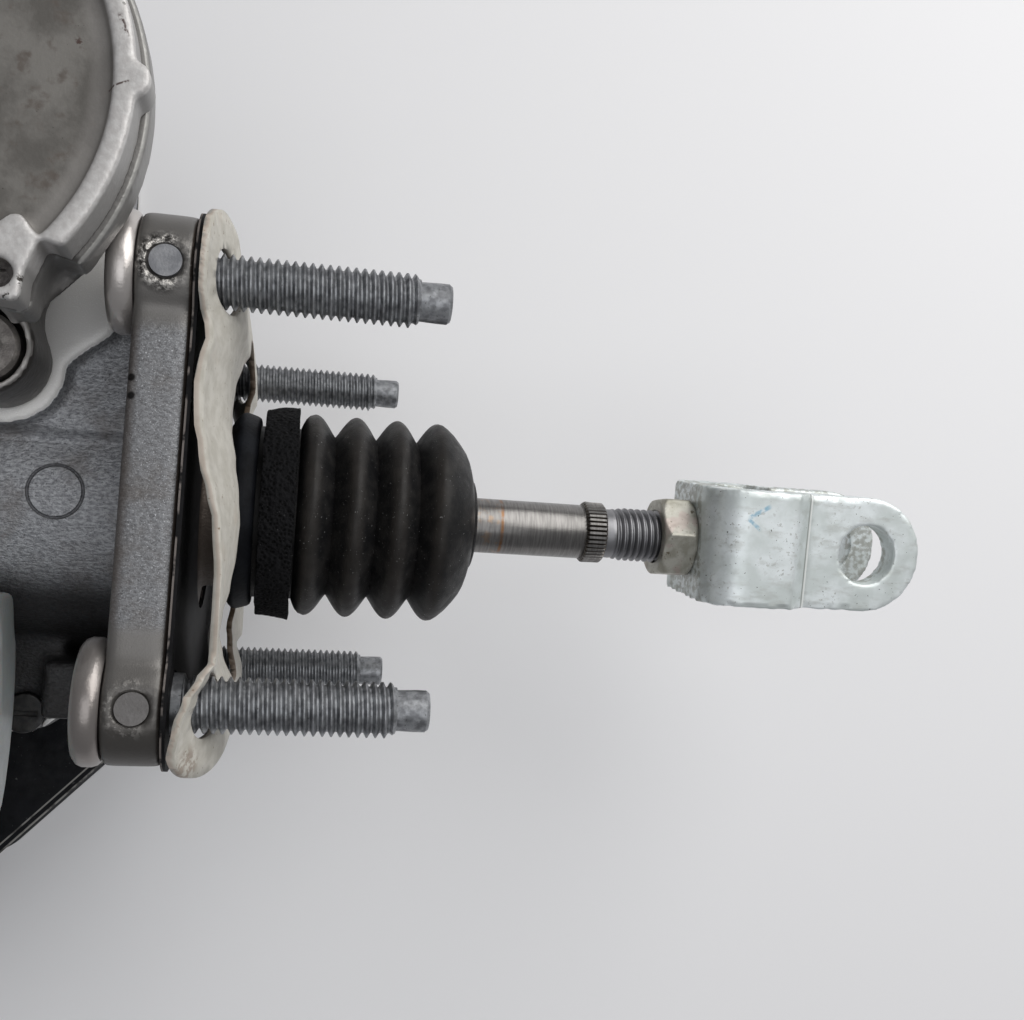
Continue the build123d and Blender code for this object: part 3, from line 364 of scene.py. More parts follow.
skin_tone = layered(
    tint(rise(flecks, 0.30, 0.70), (0.225, 0.23, 0.245), (0.46, 0.47, 0.49)),
    (is_flange, flange_tone),
    (rise(grains, 0.62, 0.70), (0.50, 0.51, 0.53)),
    (rise(grains, 0.37, 0.29), (0.055, 0.055, 0.06)),
    (old_oil, (0.12, 0.10, 0.085)),
    (front_corner, (0.15, 0.125, 0.11)),
    (lobe_ends, (0.175, 0.168, 0.16)),
    (painted_shade_under_barrel, (0.02, 0.019, 0.019)),
    (both(mark, 0.75), (0.05, 0.05, 0.055)),
    (milled, mill_tone),
    (painted_shade_rear_face, (0.075, 0.06, 0.05)),
    (painted_shade_low_lobe, (0.06, 0.055, 0.05)),
    (both(peened, rise(dents, 0.52, 0.58)), (0.55, 0.53, 0.50)),
    (both(peened, rise(dents, 0.47, 0.41)), (0.03, 0.028, 0.026)),
    (both(rise(to_pock, 0.7, 0.35), on_edge), (0.015, 0.014, 0.014)))
show(cast_skin, skin_tone, rise(worked_face, 0.0, 1.0, 0.50, 0.40), rise(milled, 0.0, 1.0, 0.6, 0.15))
skin_depth = both(rise(worked_face, 0, 1, 1.0, 0.12), rise(is_flange, 0, 1, 1.0, 0.6))
relief(cast_skin, both(flecks, skin_depth), 0.20)
relief(cast_skin, grains, 0.05, 0.6)
relief(cast_skin, mark, -0.25)
relief(cast_skin, both(peened, dents), 0.5)
make_piece("housing_casting", melted(copy_of("main_housing"), cell=0.75, rounds=9, share=0.48), cast_skin,
           "root", "cast_aluminium", "main_housing")

# ---- Insulating sheet ----
# A steel sheet coated with black rubber, punched to the flange's outline.
# It lies flat against the flange, and a thin line of bare steel shows along its cut edge.


def coat(finish, *nodes):
    """Give CAD nodes that stay showing their finish."""
    for node in nodes:
        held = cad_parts[node]
        if not held.material_slots:
            held.data.materials.append(finish)
        for slot in held.material_slots:
            slot.material = finish


def facing(finish, axis):
    """The share of the surface's own direction along X, Y or Z, from 0 to 1."""
    tree = finish.node_tree
    where = tree.nodes.new("ShaderNodeTexCoord")
    split = tree.nodes.new("ShaderNodeSeparateXYZ")
    tree.links.new(where.outputs["Normal"], split.inputs["Vector"])
    return sums("ABSOLUTE", split.outputs[axis])


bare_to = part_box("insulating_gasket")[0][0] / MM + 0.3
sheet_black = new_finish("coated_steel_sheet", (0.014, 0.014, 0.015), 0.6, Specular_IOR_Level=0.12)
bare = both(rise(facing(sheet_black, "X"), 0.6, 0.3), rise(along(sheet_black, "X"), bare_to, bare_to - 0.08),
            rise(cloud(sheet_black, 0.25, 4.0), 0.42, 0.52))
show(sheet_black, layered(
    tint(rise(cloud(sheet_black, 0.3, 4.0), 0.35, 0.7), (0.005, 0.005, 0.0055), (0.012, 0.012, 0.013)),
    (bare, (0.17, 0.15, 0.14))))
relief(sheet_black, cloud(sheet_black, 2.1, 2.0), 0.04)
coat(sheet_black, "insulating_gasket")

# ---- Face gasket ----
# A cream paper and rubber gasket. It has swollen and lifted off the sheet along its middle
# and lies flat round the studs that pinch it. Its cut edges have gone brown.
edge_lift = ((-41, 0.0), (-37, 0.1), (-32, 0.8), (-28.7, 1.8), (-25.8, 3.3), (-23.6, 4.7), (-12, 4.6),
             (-5, 3.9), (-0.9, 2.9), (1.9, 1.9), (5.5, 1.3), (8.4, 0.6), (11.4, 0.3), (14.3, 0.2), (18, 0.7),
             (20.3, 1.3), (22, 1.0), (24.3, 0.3), (26.6, 0.0), (41, 0.0))
inner_lift = ((-41, 5.4), (-36, 6.0), (-30, 5.6), (-24, 4.0), (-21, 3.5), (-17.6, 3.9), (-14, 4.8), (-8, 5.6),
              (-4, 5.8), (0, 5.4), (5.6, 4.5), (10, 3.6), (14, 3.4), (18, 3.5), (21.7, 4.2), (24.5, 5.1),
              (30, 4.7), (35, 3.4), (38, 3.1), (41, 2.4))
gasket_end, lift_run, cut_step = 47.7, 14.5, 2


def eased(value, low, high):
    """From 0 to 1, smoothly, between two limits."""
    share = min(max((value - low) / (high - low), 0), 1)
    return share * share * (3 - 2 * share)


def read(table, y):
    """A table's value at Y, eased between its rows."""
    for (y0, low), (y1, high) in zip(table, table[1:]):
        if y0 <= y < y1:
            return low + (high - low) * eased(y, y0, y1)
    return table[-1][1]


def lift_at(y, z):
    """How far the gasket stands off the sheet at a place: little at its edge, more towards its hole."""
    edge = read(edge_lift, y)
    inward = min(max((gasket_end - abs(z)) / lift_run, 0), 1)
    return edge + (read(inner_lift, y) - edge) * (0.6 * inward + 0.4 * eased(inward, 0, 1))


paper = copy_of("face_gasket")
for place in range(-48, 49, cut_step):
    for axis, at in (((0, 1, 0), (0, place, 0)), ((0, 0, 1), (0, 0, place))):
        bmesh.ops.bisect_plane(paper, geom=paper.verts[:] + paper.edges[:] + paper.faces[:], dist=0.0005,
                               plane_co=at, plane_no=axis)
for dot in paper.verts:
    dot.co.x += lift_at(dot.co.y, dot.co.z)
    dot.co.x += 0.06 * noise.noise(dot.co * 0.12)

cream = new_finish("gasket_paper", (0.66, 0.64, 0.57), 0.62, Sheen_Weight=0.1)
stain = rise(cloud(cream, 0.16, 4.0), 0.56, 0.78, 0.0, 0.45)
low_corner = both(rise(away(cream, 0, -38.0, 43.5, flat=(0, 1, 1)), 3.4, 1.6),
                  rise(cloud(cream, 0.9, 4.0), 0.42, 0.56, 0.0, 0.8))
paper_tone = layered(
    tint(rise(cloud(cream, 0.5, 3.0), 0.3, 0.7), (0.42, 0.40, 0.35), (0.52, 0.50, 0.45)),
    (stain, (0.47, 0.39, 0.30)),
    (rise(cloud(cream, 1.3, 3.0), 0.66, 0.74), (0.20, 0.15, 0.10)),
    (low_corner, (0.24, 0.19, 0.15)),
    (rise(facing(cream, "X"), 0.55, 0.25, 0.0, 0.45), (0.34, 0.25, 0.20)),
    (rise(away(cream, 0, 0, 0, flat=(0, 1, 1)), 30.0, 29.6), (0.16, 0.11, 0.07)))
show(cream, paper_tone, rise(stain, 0, 0.5, 0.62, 0.45))
relief(cream, cloud(cream, 0.9, 4.0), 0.05)
make_piece("face_gasket_sheet", paper, cream, "root", "gasket_board", "face_gasket", sharp=50)

# ---- Mounting studs ----
# Four M8 studs of zinc and nickel plated steel, pressed in from the front, with round heads.
# The threads are rolled, and a plain dog point guides the nut.


def joined(*parts):
    """Several meshes made one."""
    whole = bmesh.new()
    for part in parts:
        data = bpy.data.meshes.new("part")
        part.to_mesh(data)
        part.free()
        whole.from_mesh(data)
        bpy.data.meshes.remove(data)
    return whole


def turned(outline, steps=64, ring=False):
    """A body turned about X from its outline in (place, radius). A ring's outline closes on itself."""
    mesh = bmesh.new()
    dots = [mesh.verts.new((x, 0, r)) for x, r in outline]
    follow = dots[1:] + dots[:1] if ring else dots[1:]
    edges = [mesh.edges.new(pair) for pair in zip(dots, follow)]
    bmesh.ops.spin(mesh, geom=dots + edges, cent=(0, 0, 0), axis=(1, 0, 0), dvec=(0, 0, 0), angle=tau,
                   steps=steps, use_merge=True)
    bmesh.ops.remove_doubles(mesh, verts=mesh.verts, dist=0.0015)
    return mesh


def moved(mesh, x=0.0, y=0.0, z=0.0):
    """The same mesh, shifted."""
    bmesh.ops.translate(mesh, vec=(x, y, z), verts=mesh.verts)
    return mesh


def trimmed(mesh, limit_at):
    """Pull in what stands further from the X axis than the limit at its place along it."""
    for dot in mesh.verts:
        radius, limit = hypot(dot.co.y, dot.co.z), limit_at(dot.co.x)
        if radius > limit:
            dot.co.yz = dot.co.yz * (limit / radius)
    return mesh


def threaded(outer, root, pitch, start, end):
    """A screw thread along X, cut off square at both ends and chamfered at its free end."""
    mesh = bmesh.new()
    steps, chamfer = 30, 0.8
    turns = int((end - start) / pitch) + 2
    shape = ((0, root), (0.10, root), (0.42, outer), (0.58, outer), (0.90, root), (1, root))
    dots = [mesh.verts.new((start - pitch + share * pitch, 0, r)) for share, r in shape]
    edges = [mesh.edges.new(pair) for pair in zip(dots, dots[1:])]
    bmesh.ops.spin(mesh, geom=dots + edges, cent=(0, 0, 0), axis=(1, 0, 0), dvec=(pitch / steps, 0, 0),
                   angle=tau * turns, steps=steps * turns, use_merge=False)
    bmesh.ops.remove_doubles(mesh, verts=mesh.verts, dist=0.002)
    for at, way in ((start, -1), (end, 1)):
        bmesh.ops.bisect_plane(mesh, geom=mesh.verts[:] + mesh.edges[:] + mesh.faces[:], dist=0.0005,
                               plane_co=(at, 0, 0), plane_no=(way, 0, 0), clear_outer=True)
        rim = [edge for edge in mesh.edges if edge.is_boundary and abs(edge.verts[0].co.x - at) < 0.01]
        bmesh.ops.holes_fill(mesh, edges=rim, sides=0)
    return trimmed(mesh, lambda x: root + (end - x) * chamfer)


stud_z, head_len = 40, 3.8
m8_outer, m8_root, m8_pitch, m8_end = 4.0, 3.28, 1.25, 30.9
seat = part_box("mounting_studs")[0][0] / MM + head_len
studs = []
for y in (-stud_y, stud_y):
    for z in (-stud_z, stud_z):
        head = turned([(seat - head_len, 0), (seat - head_len, 7.0), (seat - 3.6, 7.9), (seat - 3.1, 8.5),
                       (seat - 2.4, 8.8), (seat - 1.2, 8.8), (seat - 0.5, 8.55), (seat, 8.0), (seat, 0)])
        grip = turned([(seat - 0.5, 0), (seat - 0.5, 4.3), (1.3, 4.3), (1.4, 4.1), (1.4, 0)], 40)
        thread = threaded(m8_outer, m8_root, m8_pitch, 1.0, m8_end)
        point = turned([(30.2, 0), (30.2, 2.85), (m8_end, 2.9), (33.5, 3.0), (35.15, 3.0), (35.6, 2.65),
                        (35.6, 0)], 40)
        studs.append(moved(joined(head, grip, thread, point), 0, y, z))

stud_zinc = new_finish("stud_plating", (0.30, 0.31, 0.32), 0.42, 0.75)
at_head = rise(along(stud_zinc, "X"), -7.0, -8.5)
stud_tone = layered(
    tint(rise(cloud(stud_zinc, 0.8, 4.0), 0.35, 0.65), (0.17, 0.175, 0.185), (0.34, 0.35, 0.365)),
    (rise(cloud(stud_zinc, 2.4, 2.0), 0.66, 0.74), (0.09, 0.09, 0.09)),
    (at_head, (0.52, 0.49, 0.47)),
    (both(at_head, rise(along(stud_zinc, "Y"), -18, -28, 0.0, 0.75)), (0.19, 0.17, 0.16)))
show(stud_zinc, stud_tone, rise(at_head, 0, 1, 0.44, 0.30))
relief(stud_zinc, cloud(stud_zinc, 2.2, 3.0), 0.03)
make_piece("stud_set", joined(*studs), stud_zinc, "root", "stud_steel", "mounting_studs", sharp=35)

# ---- Cross pins ----
# A short steel pin is driven through the flange's edge against each stud, and the casting
# is peened round it. The upper ends are light and the lower ones darker and browner.
pin_face = new_finish("cross_pin", (0.25, 0.255, 0.27), 0.5, 0.6)
pin_tone = layered(
    tint(rise(cloud(pin_face, 0.5, 4.0), 0.35, 0.68), (0.20, 0.205, 0.22), (0.30, 0.305, 0.32)),
    (rise(along(pin_face, "Y"), -20, -28, 0.0, 0.8), (0.13, 0.12, 0.112)))
show(pin_face, pin_tone, rise(cloud(pin_face, 1.8, 3.0), 0.3, 0.7, 0.42, 0.58))
relief(pin_face, cloud(pin_face, 3.5, 2.0), 0.04)
coat(pin_face, "stud_cross_pins")

# ---- Boot collar ----
# A moulded black ring on the housing's pilot that locates the boot's cuff.
# Its crown has a dull bluish bloom and small dust pits.
collar_start, collar_end = 3.5, 8.4
collar = turned([(collar_start, 13.6), (collar_start, 14.9), (3.9, 15.6), (4.7, 16.7), (5.2, 17.15),
                 (5.8, 17.3), (6.9, 17.0), (7.8, 16.7), (8.25, 16.4), (collar_end, 16.0),
                 (collar_end, 13.6)], 96, ring=True)
bloom = new_finish("collar_plastic", (0.012, 0.013, 0.015), 0.55, Specular_IOR_Level=0.1)
show(bloom, layered(
    tint(rise(cloud(bloom, 0.25, 4.0), 0.3, 0.7), (0.004, 0.0045, 0.006), (0.012, 0.0135, 0.017)),
    (rise(cloud(bloom, 1.6, 1.0), 0.70, 0.74), (0.004, 0.004, 0.004))))
relief(bloom, cloud(bloom, 1.6, 2.0), 0.06)
make_piece("boot_collar_ring", collar, bloom, "root", "collar_plastic", "boot_collar", sharp=50)

# ---- Foam ring ----
# A cut ring of open black foam that seals the hole in the bulkhead.
# The knife left its faces rough, and it stands a little wider at the back.


def pits(finish, scale):
    """Distance to the nearest of many scattered dots, in cells."""
    tree = finish.node_tree
    made = tree.nodes.new("ShaderNodeTexVoronoi")
    made.inputs["Scale"].default_value = scale
    tree.links.new(spot(finish), made.inputs["Vector"])
    return made.outputs["Distance"]


foam_front, foam_hole = 9.2, 15.2
outline = [(foam_front, foam_hole)] + [(foam_front + 0.02 * k, foam_hole + 0.75 * k) for k in range(1, 5)]
outline += [(9.3 + 0.62 * k, 18.25 + 0.07 * k) for k in range(10)]
outline += [(14.95 - 0.02 * k, 18.2 - 0.75 * k) for k in range(4)]
foam = turned(outline + [(14.9, foam_hole)], 220, ring=True)
for dot in foam.verts:
    rough = noise.noise(dot.co * 1.9) * 0.22 + noise.noise(dot.co * 0.25) * 0.35
    if hypot(dot.co.y, dot.co.z) > 15.6:
        dot.co.yz = dot.co.yz * (1 + (rough - 0.12) / 18)
        dot.co.x += 0.22 * noise.noise(dot.co * 0.3 + Vector((7, 0, 0)))
cells = new_finish("foam_cells", (0.012, 0.012, 0.013), 0.9, Specular_IOR_Level=0.12)
cell_walls = pits(cells, 1.6)
show(cells, layered(
    tint(rise(cell_walls, 0.15, 0.5), (0.002, 0.002, 0.002), (0.009, 0.009, 0.010)),
    (rise(cloud(cells, 2.2, 2.0), 0.71, 0.77), (0.06, 0.06, 0.06))))
relief(cells, cell_walls, 0.35)
relief(cells, cloud(cells, 1.2, 4.0), 0.3)
make_piece("foam_seal_ring", foam, cells, "root", "foam", "foam_ring", sharp=60)

# ---- Dust boot ----
# Black rubber bellows on the housing's pilot: a plain cuff, four folds and a domed end.
# A thick lip grips the push rod.
fold_pitch, crest_r, valley_r, first_crest, wall = 7.28, 17.9, 14.05, 17.6, 1.1
cuff_end, cuff_in, cuff_out = 15.3, 13.7, 15.1
cuff = turned([(collar_end, cuff_in), (collar_end, cuff_out), (cuff_end, cuff_out), (cuff_end, cuff_in)],
              96, ring=True)
outer = [(15.2, 15.1), (15.5, 15.9), (16.0, 16.9), (16.6, 17.55)]
for fold in range(3):
    for share in (k / 16 for k in range(16)):
        height = sin(abs(2 * share - 1) * pi / 2) ** 1.12
        outer.append((first_crest + (fold + share) * fold_pitch, valley_r + (crest_r - valley_r) * height))
outer += [(39.44, 17.9), (40.2, 17.75), (41.1, 17.15), (42.3, 16.1), (43.6, 14.6), (44.6, 13.25),
          (45.15, 12.2), (45.6, 10.9), (46.0, 9.5), (46.25, 8.3)]
inner = [(x - (wall if x > 43 else 0), max(r - wall, 7.2)) for x, r in outer]
bellows = turned(outer + inner[::-1], 128, ring=True)
lip = turned([(44.9, 8.3), (46.0, 8.3), (46.3, 8.25), (46.7, 7.9), (46.88, 7.3), (46.9, 6.2), (46.7, 5.3),
              (46.3, 5.1), (44.6, 5.1), (44.5, 5.6)], 96, ring=True)

rubber = new_finish("boot_rubber", (0.015, 0.015, 0.015), 0.46, Specular_IOR_Level=0.18)
crown = both(rise(away(rubber, 0, 0, 0, flat=(0, 1, 1)), 16.4, 17.9, 0.0, 0.7),
             rise(along(rubber, "X"), 41.0, 39.0), cloud(rubber, 0.12, 2.0))
rubber_tone = layered(
    tint(rise(cloud(rubber, 0.35, 4.0), 0.35, 0.7), (0.007, 0.007, 0.0075), (0.019, 0.018, 0.0175)),
    (crown, (0.036, 0.031, 0.027)),
    (rise(cloud(rubber, 2.5, 1.0), 0.73, 0.76), (0.14, 0.14, 0.14)))
show(rubber, rubber_tone, rise(cloud(rubber, 0.5, 5.0), 0.3, 0.7, 0.40, 0.54))
relief(rubber, cloud(rubber, 3.0, 3.0), 0.04)
make_piece("boot_cuff", cuff, rubber, "root", "boot_rubber", "dust_boot", sharp=50)
folds = make_piece("boot_bellows", bellows, rubber, "root", "boot_rubber", "dust_boot", sharp=75)
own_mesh(folds)
grip = make_piece("boot_lip", lip, rubber, None, "boot_rubber", "dust_boot", sharp=75)
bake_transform(grip)

# ---- Push rod ----
# Turned steel with a ball that sits in the piston, a rolled knurl and an M10 thread.
# The shank is bright and burnished, with one brown ring where the boot has rubbed.
ball_r, shank_r, knurl_r, ridges, ridge_depth = 7, 5.0, 5.65, 42, 0.42
knurl_start, knurl_end = 67.6, 71.7
m10_outer, m10_root, m10_pitch = 4.95, 4.25, 1.25
thread_start, thread_end, lead_r, lead_slope = 73.2, 97.0, 4.62, 0.14
ball = turned([(9.0 + ball_r - ball_r * cos(radians(a)), ball_r * sin(radians(a))) for a in range(0, 136, 9)]
              + [(21.5, 4.6), (23, 4.6)], 64)
shank = turned([(20.5, 0), (20.5, 4.6), (24, 4.6), (24.6, shank_r), (knurl_start, shank_r), (67.9, 4.8),
                (67.9, 0)], 96)
knurl = turned([(knurl_start, 0), (knurl_start, 4.9), (67.75, 5.35), (68.1, knurl_r), (69.6, knurl_r),
                (71.2, knurl_r), (71.55, 5.3), (knurl_end, 4.6), (knurl_end, 0)], ridges * 4)
for dot in knurl.verts:
    radius = hypot(dot.co.y, dot.co.z)
    if radius > 5.2:
        turn = (Vector((dot.co.y, dot.co.z)).angle_signed(Vector((1, 0))) / tau * ridges) % 1
        crossed = 0.10 * noise.noise(Vector((dot.co.x * 0.8, dot.co.y, dot.co.z)))
        dot.co.yz = dot.co.yz * ((radius - ridge_depth * (abs(turn - 0.5) < 0.2) + crossed) / radius)
neck = turned([(71.4, 0), (71.4, 4.5), (72.8, 4.55), (73.4, 4.55), (74.2, 4.2), (74.2, 0)], 64)
rod_thread = trimmed(threaded(m10_outer, m10_root, m10_pitch, thread_start, thread_end),
                     lambda x: lead_r + max(x - thread_start, 0) * lead_slope)

rod_steel = new_finish("rod_steel", (0.24, 0.235, 0.23), 0.30, 0.95)
drawn = cloud(rod_steel, 0.5, 5.0, stretch=(6, 0.5, 0.5))
rod_x, rod_r = along(rod_steel, "X"), away(rod_steel, 0, 0, 0, flat=(0, 1, 1))
ring = both(rise(rod_x, 51.45, 51.8), rise(rod_x, 52.35, 52.0), rise(cloud(rod_steel, 0.5, 3.0), 0.3, 0.62))
smear = both(rise(rod_x, 53.5, 50.5), rise(cloud(rod_steel, 0.6, 4.0), 0.5, 0.66), 0.6)
past_knurl = rise(rod_x, 71.2, 72.0)
# Painted shade in the thread's grooves.
thread_groove_shade = both(rise(rod_x, thread_start, thread_start + 0.8), rise(rod_r, lead_r, 4.35), 0.4)
in_knurl = both(rise(rod_x, 67.5, 67.9), rise(rod_x, 72.0, 71.5))
rod_tone = layered(
    tint(rise(drawn, 0.35, 0.65), (0.15, 0.145, 0.14), (0.22, 0.213, 0.206)),
    (ring, (0.20, 0.11, 0.06)),
    (smear, (0.26, 0.18, 0.12)),
    (past_knurl, (0.25, 0.25, 0.26)),
    (thread_groove_shade, (0.10, 0.10, 0.105)),
    # Painted shade in the knurl's valleys.
    (both(in_knurl, rise(rod_r, 5.58, 5.35)), (0.10, 0.085, 0.07)))
show(rod_steel, rod_tone, rise(either(in_knurl, past_knurl), 0, 1, 0.30, 0.42))
relief(rod_steel, drawn, 0.03)
relief(rod_steel, cloud(rod_steel, 3.0, 2.0), 0.015)
make_piece("push_rod_steel", joined(ball, shank, knurl, neck, rod_thread), rod_steel, "push_rod", "rod_steel",
           "push_rod", sharp=35)

# ---- Lock nut ----
# An M10 nut, 14 mm across its flats, plated with zinc and passivated yellow.
# It locks the clevis on the rod.
nut_zinc = new_finish("yellow_zinc", (0.48, 0.46, 0.40), 0.42, 0.65)
nut_tone = layered(
    tint(rise(cloud(nut_zinc, 0.35, 3.0), 0.38, 0.62), (0.33, 0.32, 0.27), (0.48, 0.47, 0.42)),
    (rise(cloud(nut_zinc, 0.22, 2.0), 0.55, 0.65, 0, 0.5), (0.46, 0.36, 0.34)),
    (rise(cloud(nut_zinc, 1.4, 4.0), 0.60, 0.70), (0.17, 0.15, 0.11)))
show(nut_zinc, nut_tone, rise(cloud(nut_zinc, 1.2, 4.0), 0.35, 0.7, 0.38, 0.50))
relief(nut_zinc, cloud(nut_zinc, 1.6, 4.0), 0.05)
make_piece("lock_nut", melted(copy_of("jam_nut"), cell=0.22, rounds=3), nut_zinc, "push_rod", "nut_zinc",
           "jam_nut", sharp=60)

# ---- Clevis ----
# Thick steel strap, sheared, folded to a U and joggled in to two ears, then bright zinc plated.
# The sheared edges stay rough. A fitter's faint blue tick marks the upper face.
# Painted shade darkens the fork's inside and the joggle's corner, and a painted highlight lines the ear past
# the joggle.


def stroke(finish, start, end, width):
    """A thin line drawn from one place to another, seen from above, as a share from 0 to 1."""
    run = Vector(end) - Vector(start)
    way = run.normalized()
    x, y = along(finish, "X"), along(finish, "Y")
    ahead = sums("ADD", both(x, way.x), both(y, way.y))
    aside = sums("SUBTRACT", both(x, way.y), both(y, way.x))
    middle = way.dot(Vector(start)) + run.length / 2
    off_middle = sums("ABSOLUTE", sums("SUBTRACT", ahead, middle))
    off_line = sums("ABSOLUTE", sums("SUBTRACT", aside, start[0] * way.y - start[1] * way.x))
    within = rise(off_middle, run.length / 2, run.length / 2 - width)
    return both(within, rise(off_line, width / 2, width / 5))


clevis_roll, cheek_y, ear_x, joggle_x, fork_half = 9, 9.9, 118, 107.9, 8.2
strap = melted(copy_of("clevis"), cell=0.42, rounds=3)
unroll = Matrix.Rotation(radians(-clevis_roll), 3, "X")
for dot in strap.verts:
    level = unroll @ dot.co
    if abs(level.y) > cheek_y and dot.co.x < ear_x:
        tear = noise.noise(Vector((dot.co.x * 0.5, level.y * 0.1, level.z * 0.9)))
        dot.co -= dot.normal * (0.10 + 0.25 * tear)

bright_zinc = new_finish("bright_zinc", (0.66, 0.69, 0.68), 0.42, 0.5)
strap_x, strap_z = along(bright_zinc, "X"), along(bright_zinc, "Z")
streaks = cloud(bright_zinc, 0.5, 5.0, stretch=(0.4, 1, 1))
dirt = both(rise(cloud(bright_zinc, 0.12, 3.0), 0.48, 0.62, 0.0, 0.45),
            rise(cloud(bright_zinc, 1.5, 4.0), 0.58, 0.66))
# Painted shade inside the fork, between the ears, broken up in patches.
fork_inside_shade = both(rise(sums("ABSOLUTE", strap_z), fork_half, fork_half - 0.6, 0.0, 0.7),
               rise(cloud(bright_zinc, 0.8, 4.0), 0.4, 0.6))
tick = both(either(stroke(bright_zinc, (94.6, 3.2), (99.1, 5.9), 1.1),
                   stroke(bright_zinc, (94.5, 3.4), (97.5, 1.2), 0.9)),
            rise(strap_z, 12.5, 13.2), rise(cloud(bright_zinc, 1.2, 3.0), 0.35, 0.6, 0.15, 0.75))
on_front = rise(strap_z, 8.5, 9.0)
# Painted shade along the joggle's inside corner, and a painted highlight along the ear's face just past it.
joggle_shade_line = both(rise(strap_x, joggle_x - 0.5, joggle_x - 0.3), rise(strap_x, joggle_x + 0.05, joggle_x - 0.1),
              on_front, 0.7)
joggle_highlight_line = both(rise(strap_x, joggle_x, joggle_x + 0.15), rise(strap_x, joggle_x + 0.6, joggle_x + 0.4),
             on_front)
zinc_tone = layered(
    tint(rise(cloud(bright_zinc, 0.12, 4.0), 0.38, 0.62), (0.62, 0.67, 0.66), (0.80, 0.85, 0.86)),
    (rise(streaks, 0.50, 0.70, 0.0, 0.5), (0.44, 0.46, 0.43)),
    (dirt, (0.17, 0.15, 0.11)),
    (rise(cloud(bright_zinc, 2.2, 1.0), 0.745, 0.76), (0.06, 0.06, 0.05)),
    (fork_inside_shade, (0.30, 0.30, 0.26)),
    (tick, (0.20, 0.42, 0.56)),
    (joggle_shade_line, (0.22, 0.22, 0.20)),
    (joggle_highlight_line, (0.90, 0.92, 0.90)))
show(bright_zinc, zinc_tone, rise(cloud(bright_zinc, 0.9, 4.0), 0.35, 0.7, 0.38, 0.47))
relief(bright_zinc, cloud(bright_zinc, 1.8, 4.0), 0.015)
make_piece("clevis_strap", strap, bright_zinc, "push_rod", "clevis_zinc", "clevis", sharp=55)

# ---- Motor housing ----
# A die cast aluminium bell over the motor. Its three feet are screwed to the pad in deep recesses.
# The walls and feet are as cast and oily, and each recess has a bright turned edge. The upper wall is painted
# lighter where light falls, and a painted highlight rings the ledge's edge.


def worked(name, low, high, rough, metal=0.0, scale=0.6, depth=0.0, stretch=(1, 1, 1)):
    """A finish whose colour and gloss drift between two tones in soft patches."""
    finish = new_finish(name, high, rough, metal)
    drift = cloud(finish, scale, 4.0, stretch=stretch)
    fine = cloud(finish, scale * 7, 2.0, stretch=stretch)
    shade = tuple(0.72 * value for value in low)
    mixed = layered(tint(rise(drift, 0.35, 0.68), low, high), (rise(fine, 0.60, 0.74, 0.0, 0.6), shade))
    show(finish, mixed, rise(fine, 0.25, 0.75, rough - 0.08, rough + 0.12))
    if depth:
        relief(finish, fine, depth)
    return finish


motor_x, motor_y = -43, 48
foot_ring, foot_turn, foot_top, recess_r = 33.5, -64.5, 40.2, 6.7
ledge_r, ledge_level = 35.5, 53.4
bell_skin = new_finish("bell_skin", (0.10, 0.095, 0.09), 0.42, 0.5)
bell_z, from_motor = along(bell_skin, "Z"), away(bell_skin, motor_x, motor_y)
bell_drift = cloud(bell_skin, 0.12, 4.0)
foot_ways = [radians(foot_turn + 120 * foot) for foot in range(3)]
to_foot = nearest(*[away(bell_skin, motor_x + foot_ring * cos(way), motor_y + foot_ring * sin(way))
                    for way in foot_ways])
recess_edge = both(rise(to_foot, recess_r, recess_r - 0.5), rise(bell_z, foot_top, foot_top + 0.8))
# The ledge's top: dark inside, with a painted highlight ringing its edge.
ledge = layered(
    tint(rise(from_motor, ledge_r - 0.2, ledge_r), (0.07, 0.066, 0.062), (0.36, 0.355, 0.34)),
    (rise(from_motor, ledge_r + 0.2, ledge_r + 0.4), (0.15, 0.145, 0.14)))
bell_tone = layered(
    tint(rise(bell_drift, 0.35, 0.65), (0.060, 0.056, 0.053), (0.115, 0.110, 0.105)),
    (rise(cloud(bell_skin, 1.4, 3.0), 0.68, 0.76), (0.03, 0.026, 0.024)),
    (both(recess_edge, 0.8), (0.62, 0.60, 0.58)),
    # Painted light: the wall is lighter towards its top, where light falls on its flare.
    (rise(bell_z, 46.5, 49.5, 0.0, 0.8), (0.27, 0.265, 0.26)),
    (rise(bell_z, ledge_level, ledge_level + 0.7, 0.0, 0.8), ledge))
show(bell_skin, bell_tone, rise(bell_drift, 0.3, 0.7, 0.36, 0.48))
relief(bell_skin, cloud(bell_skin, 1.1, 4.0), 0.10)
make_piece("motor_bell", melted(copy_of("motor_housing"), cell=0.62, rounds=7, share=0.55), bell_skin, "root",
           "cast_aluminium", "motor_housing")
screw_grey = worked("grey_screw", (0.20, 0.185, 0.175), (0.34, 0.32, 0.30), 0.38, 0.7, scale=0.6, depth=0.04)
coat(screw_grey, "motor_housing_screws")

# ---- Motor cover ----
# A pressed and machined aluminium lid: a shallow dish in a raised rim, with three screwed ears.
# The dish has dulled to a mottled grey brown, and black nicks mark the bright rim's outer edge.
# The dish's rising side is painted lighter, and the rim's outer side painted darker as shade.
dish_r, dish_floor, dish_share, rim_r, rim_level = 32.3, 55.9, 0.3, 33.0, 60.4
lid_skin = new_finish("cover_skin", (0.4, 0.39, 0.38), 0.48, 0.35)
lid_z, from_axis = along(lid_skin, "Z"), away(lid_skin, motor_x, motor_y)
mottle = cloud(lid_skin, 0.09, 5.0, rough=0.6)
in_dish = both(rise(lid_z, rim_level + 0.2, rim_level - 0.2), rise(from_axis, rim_r, rim_r - 0.6))
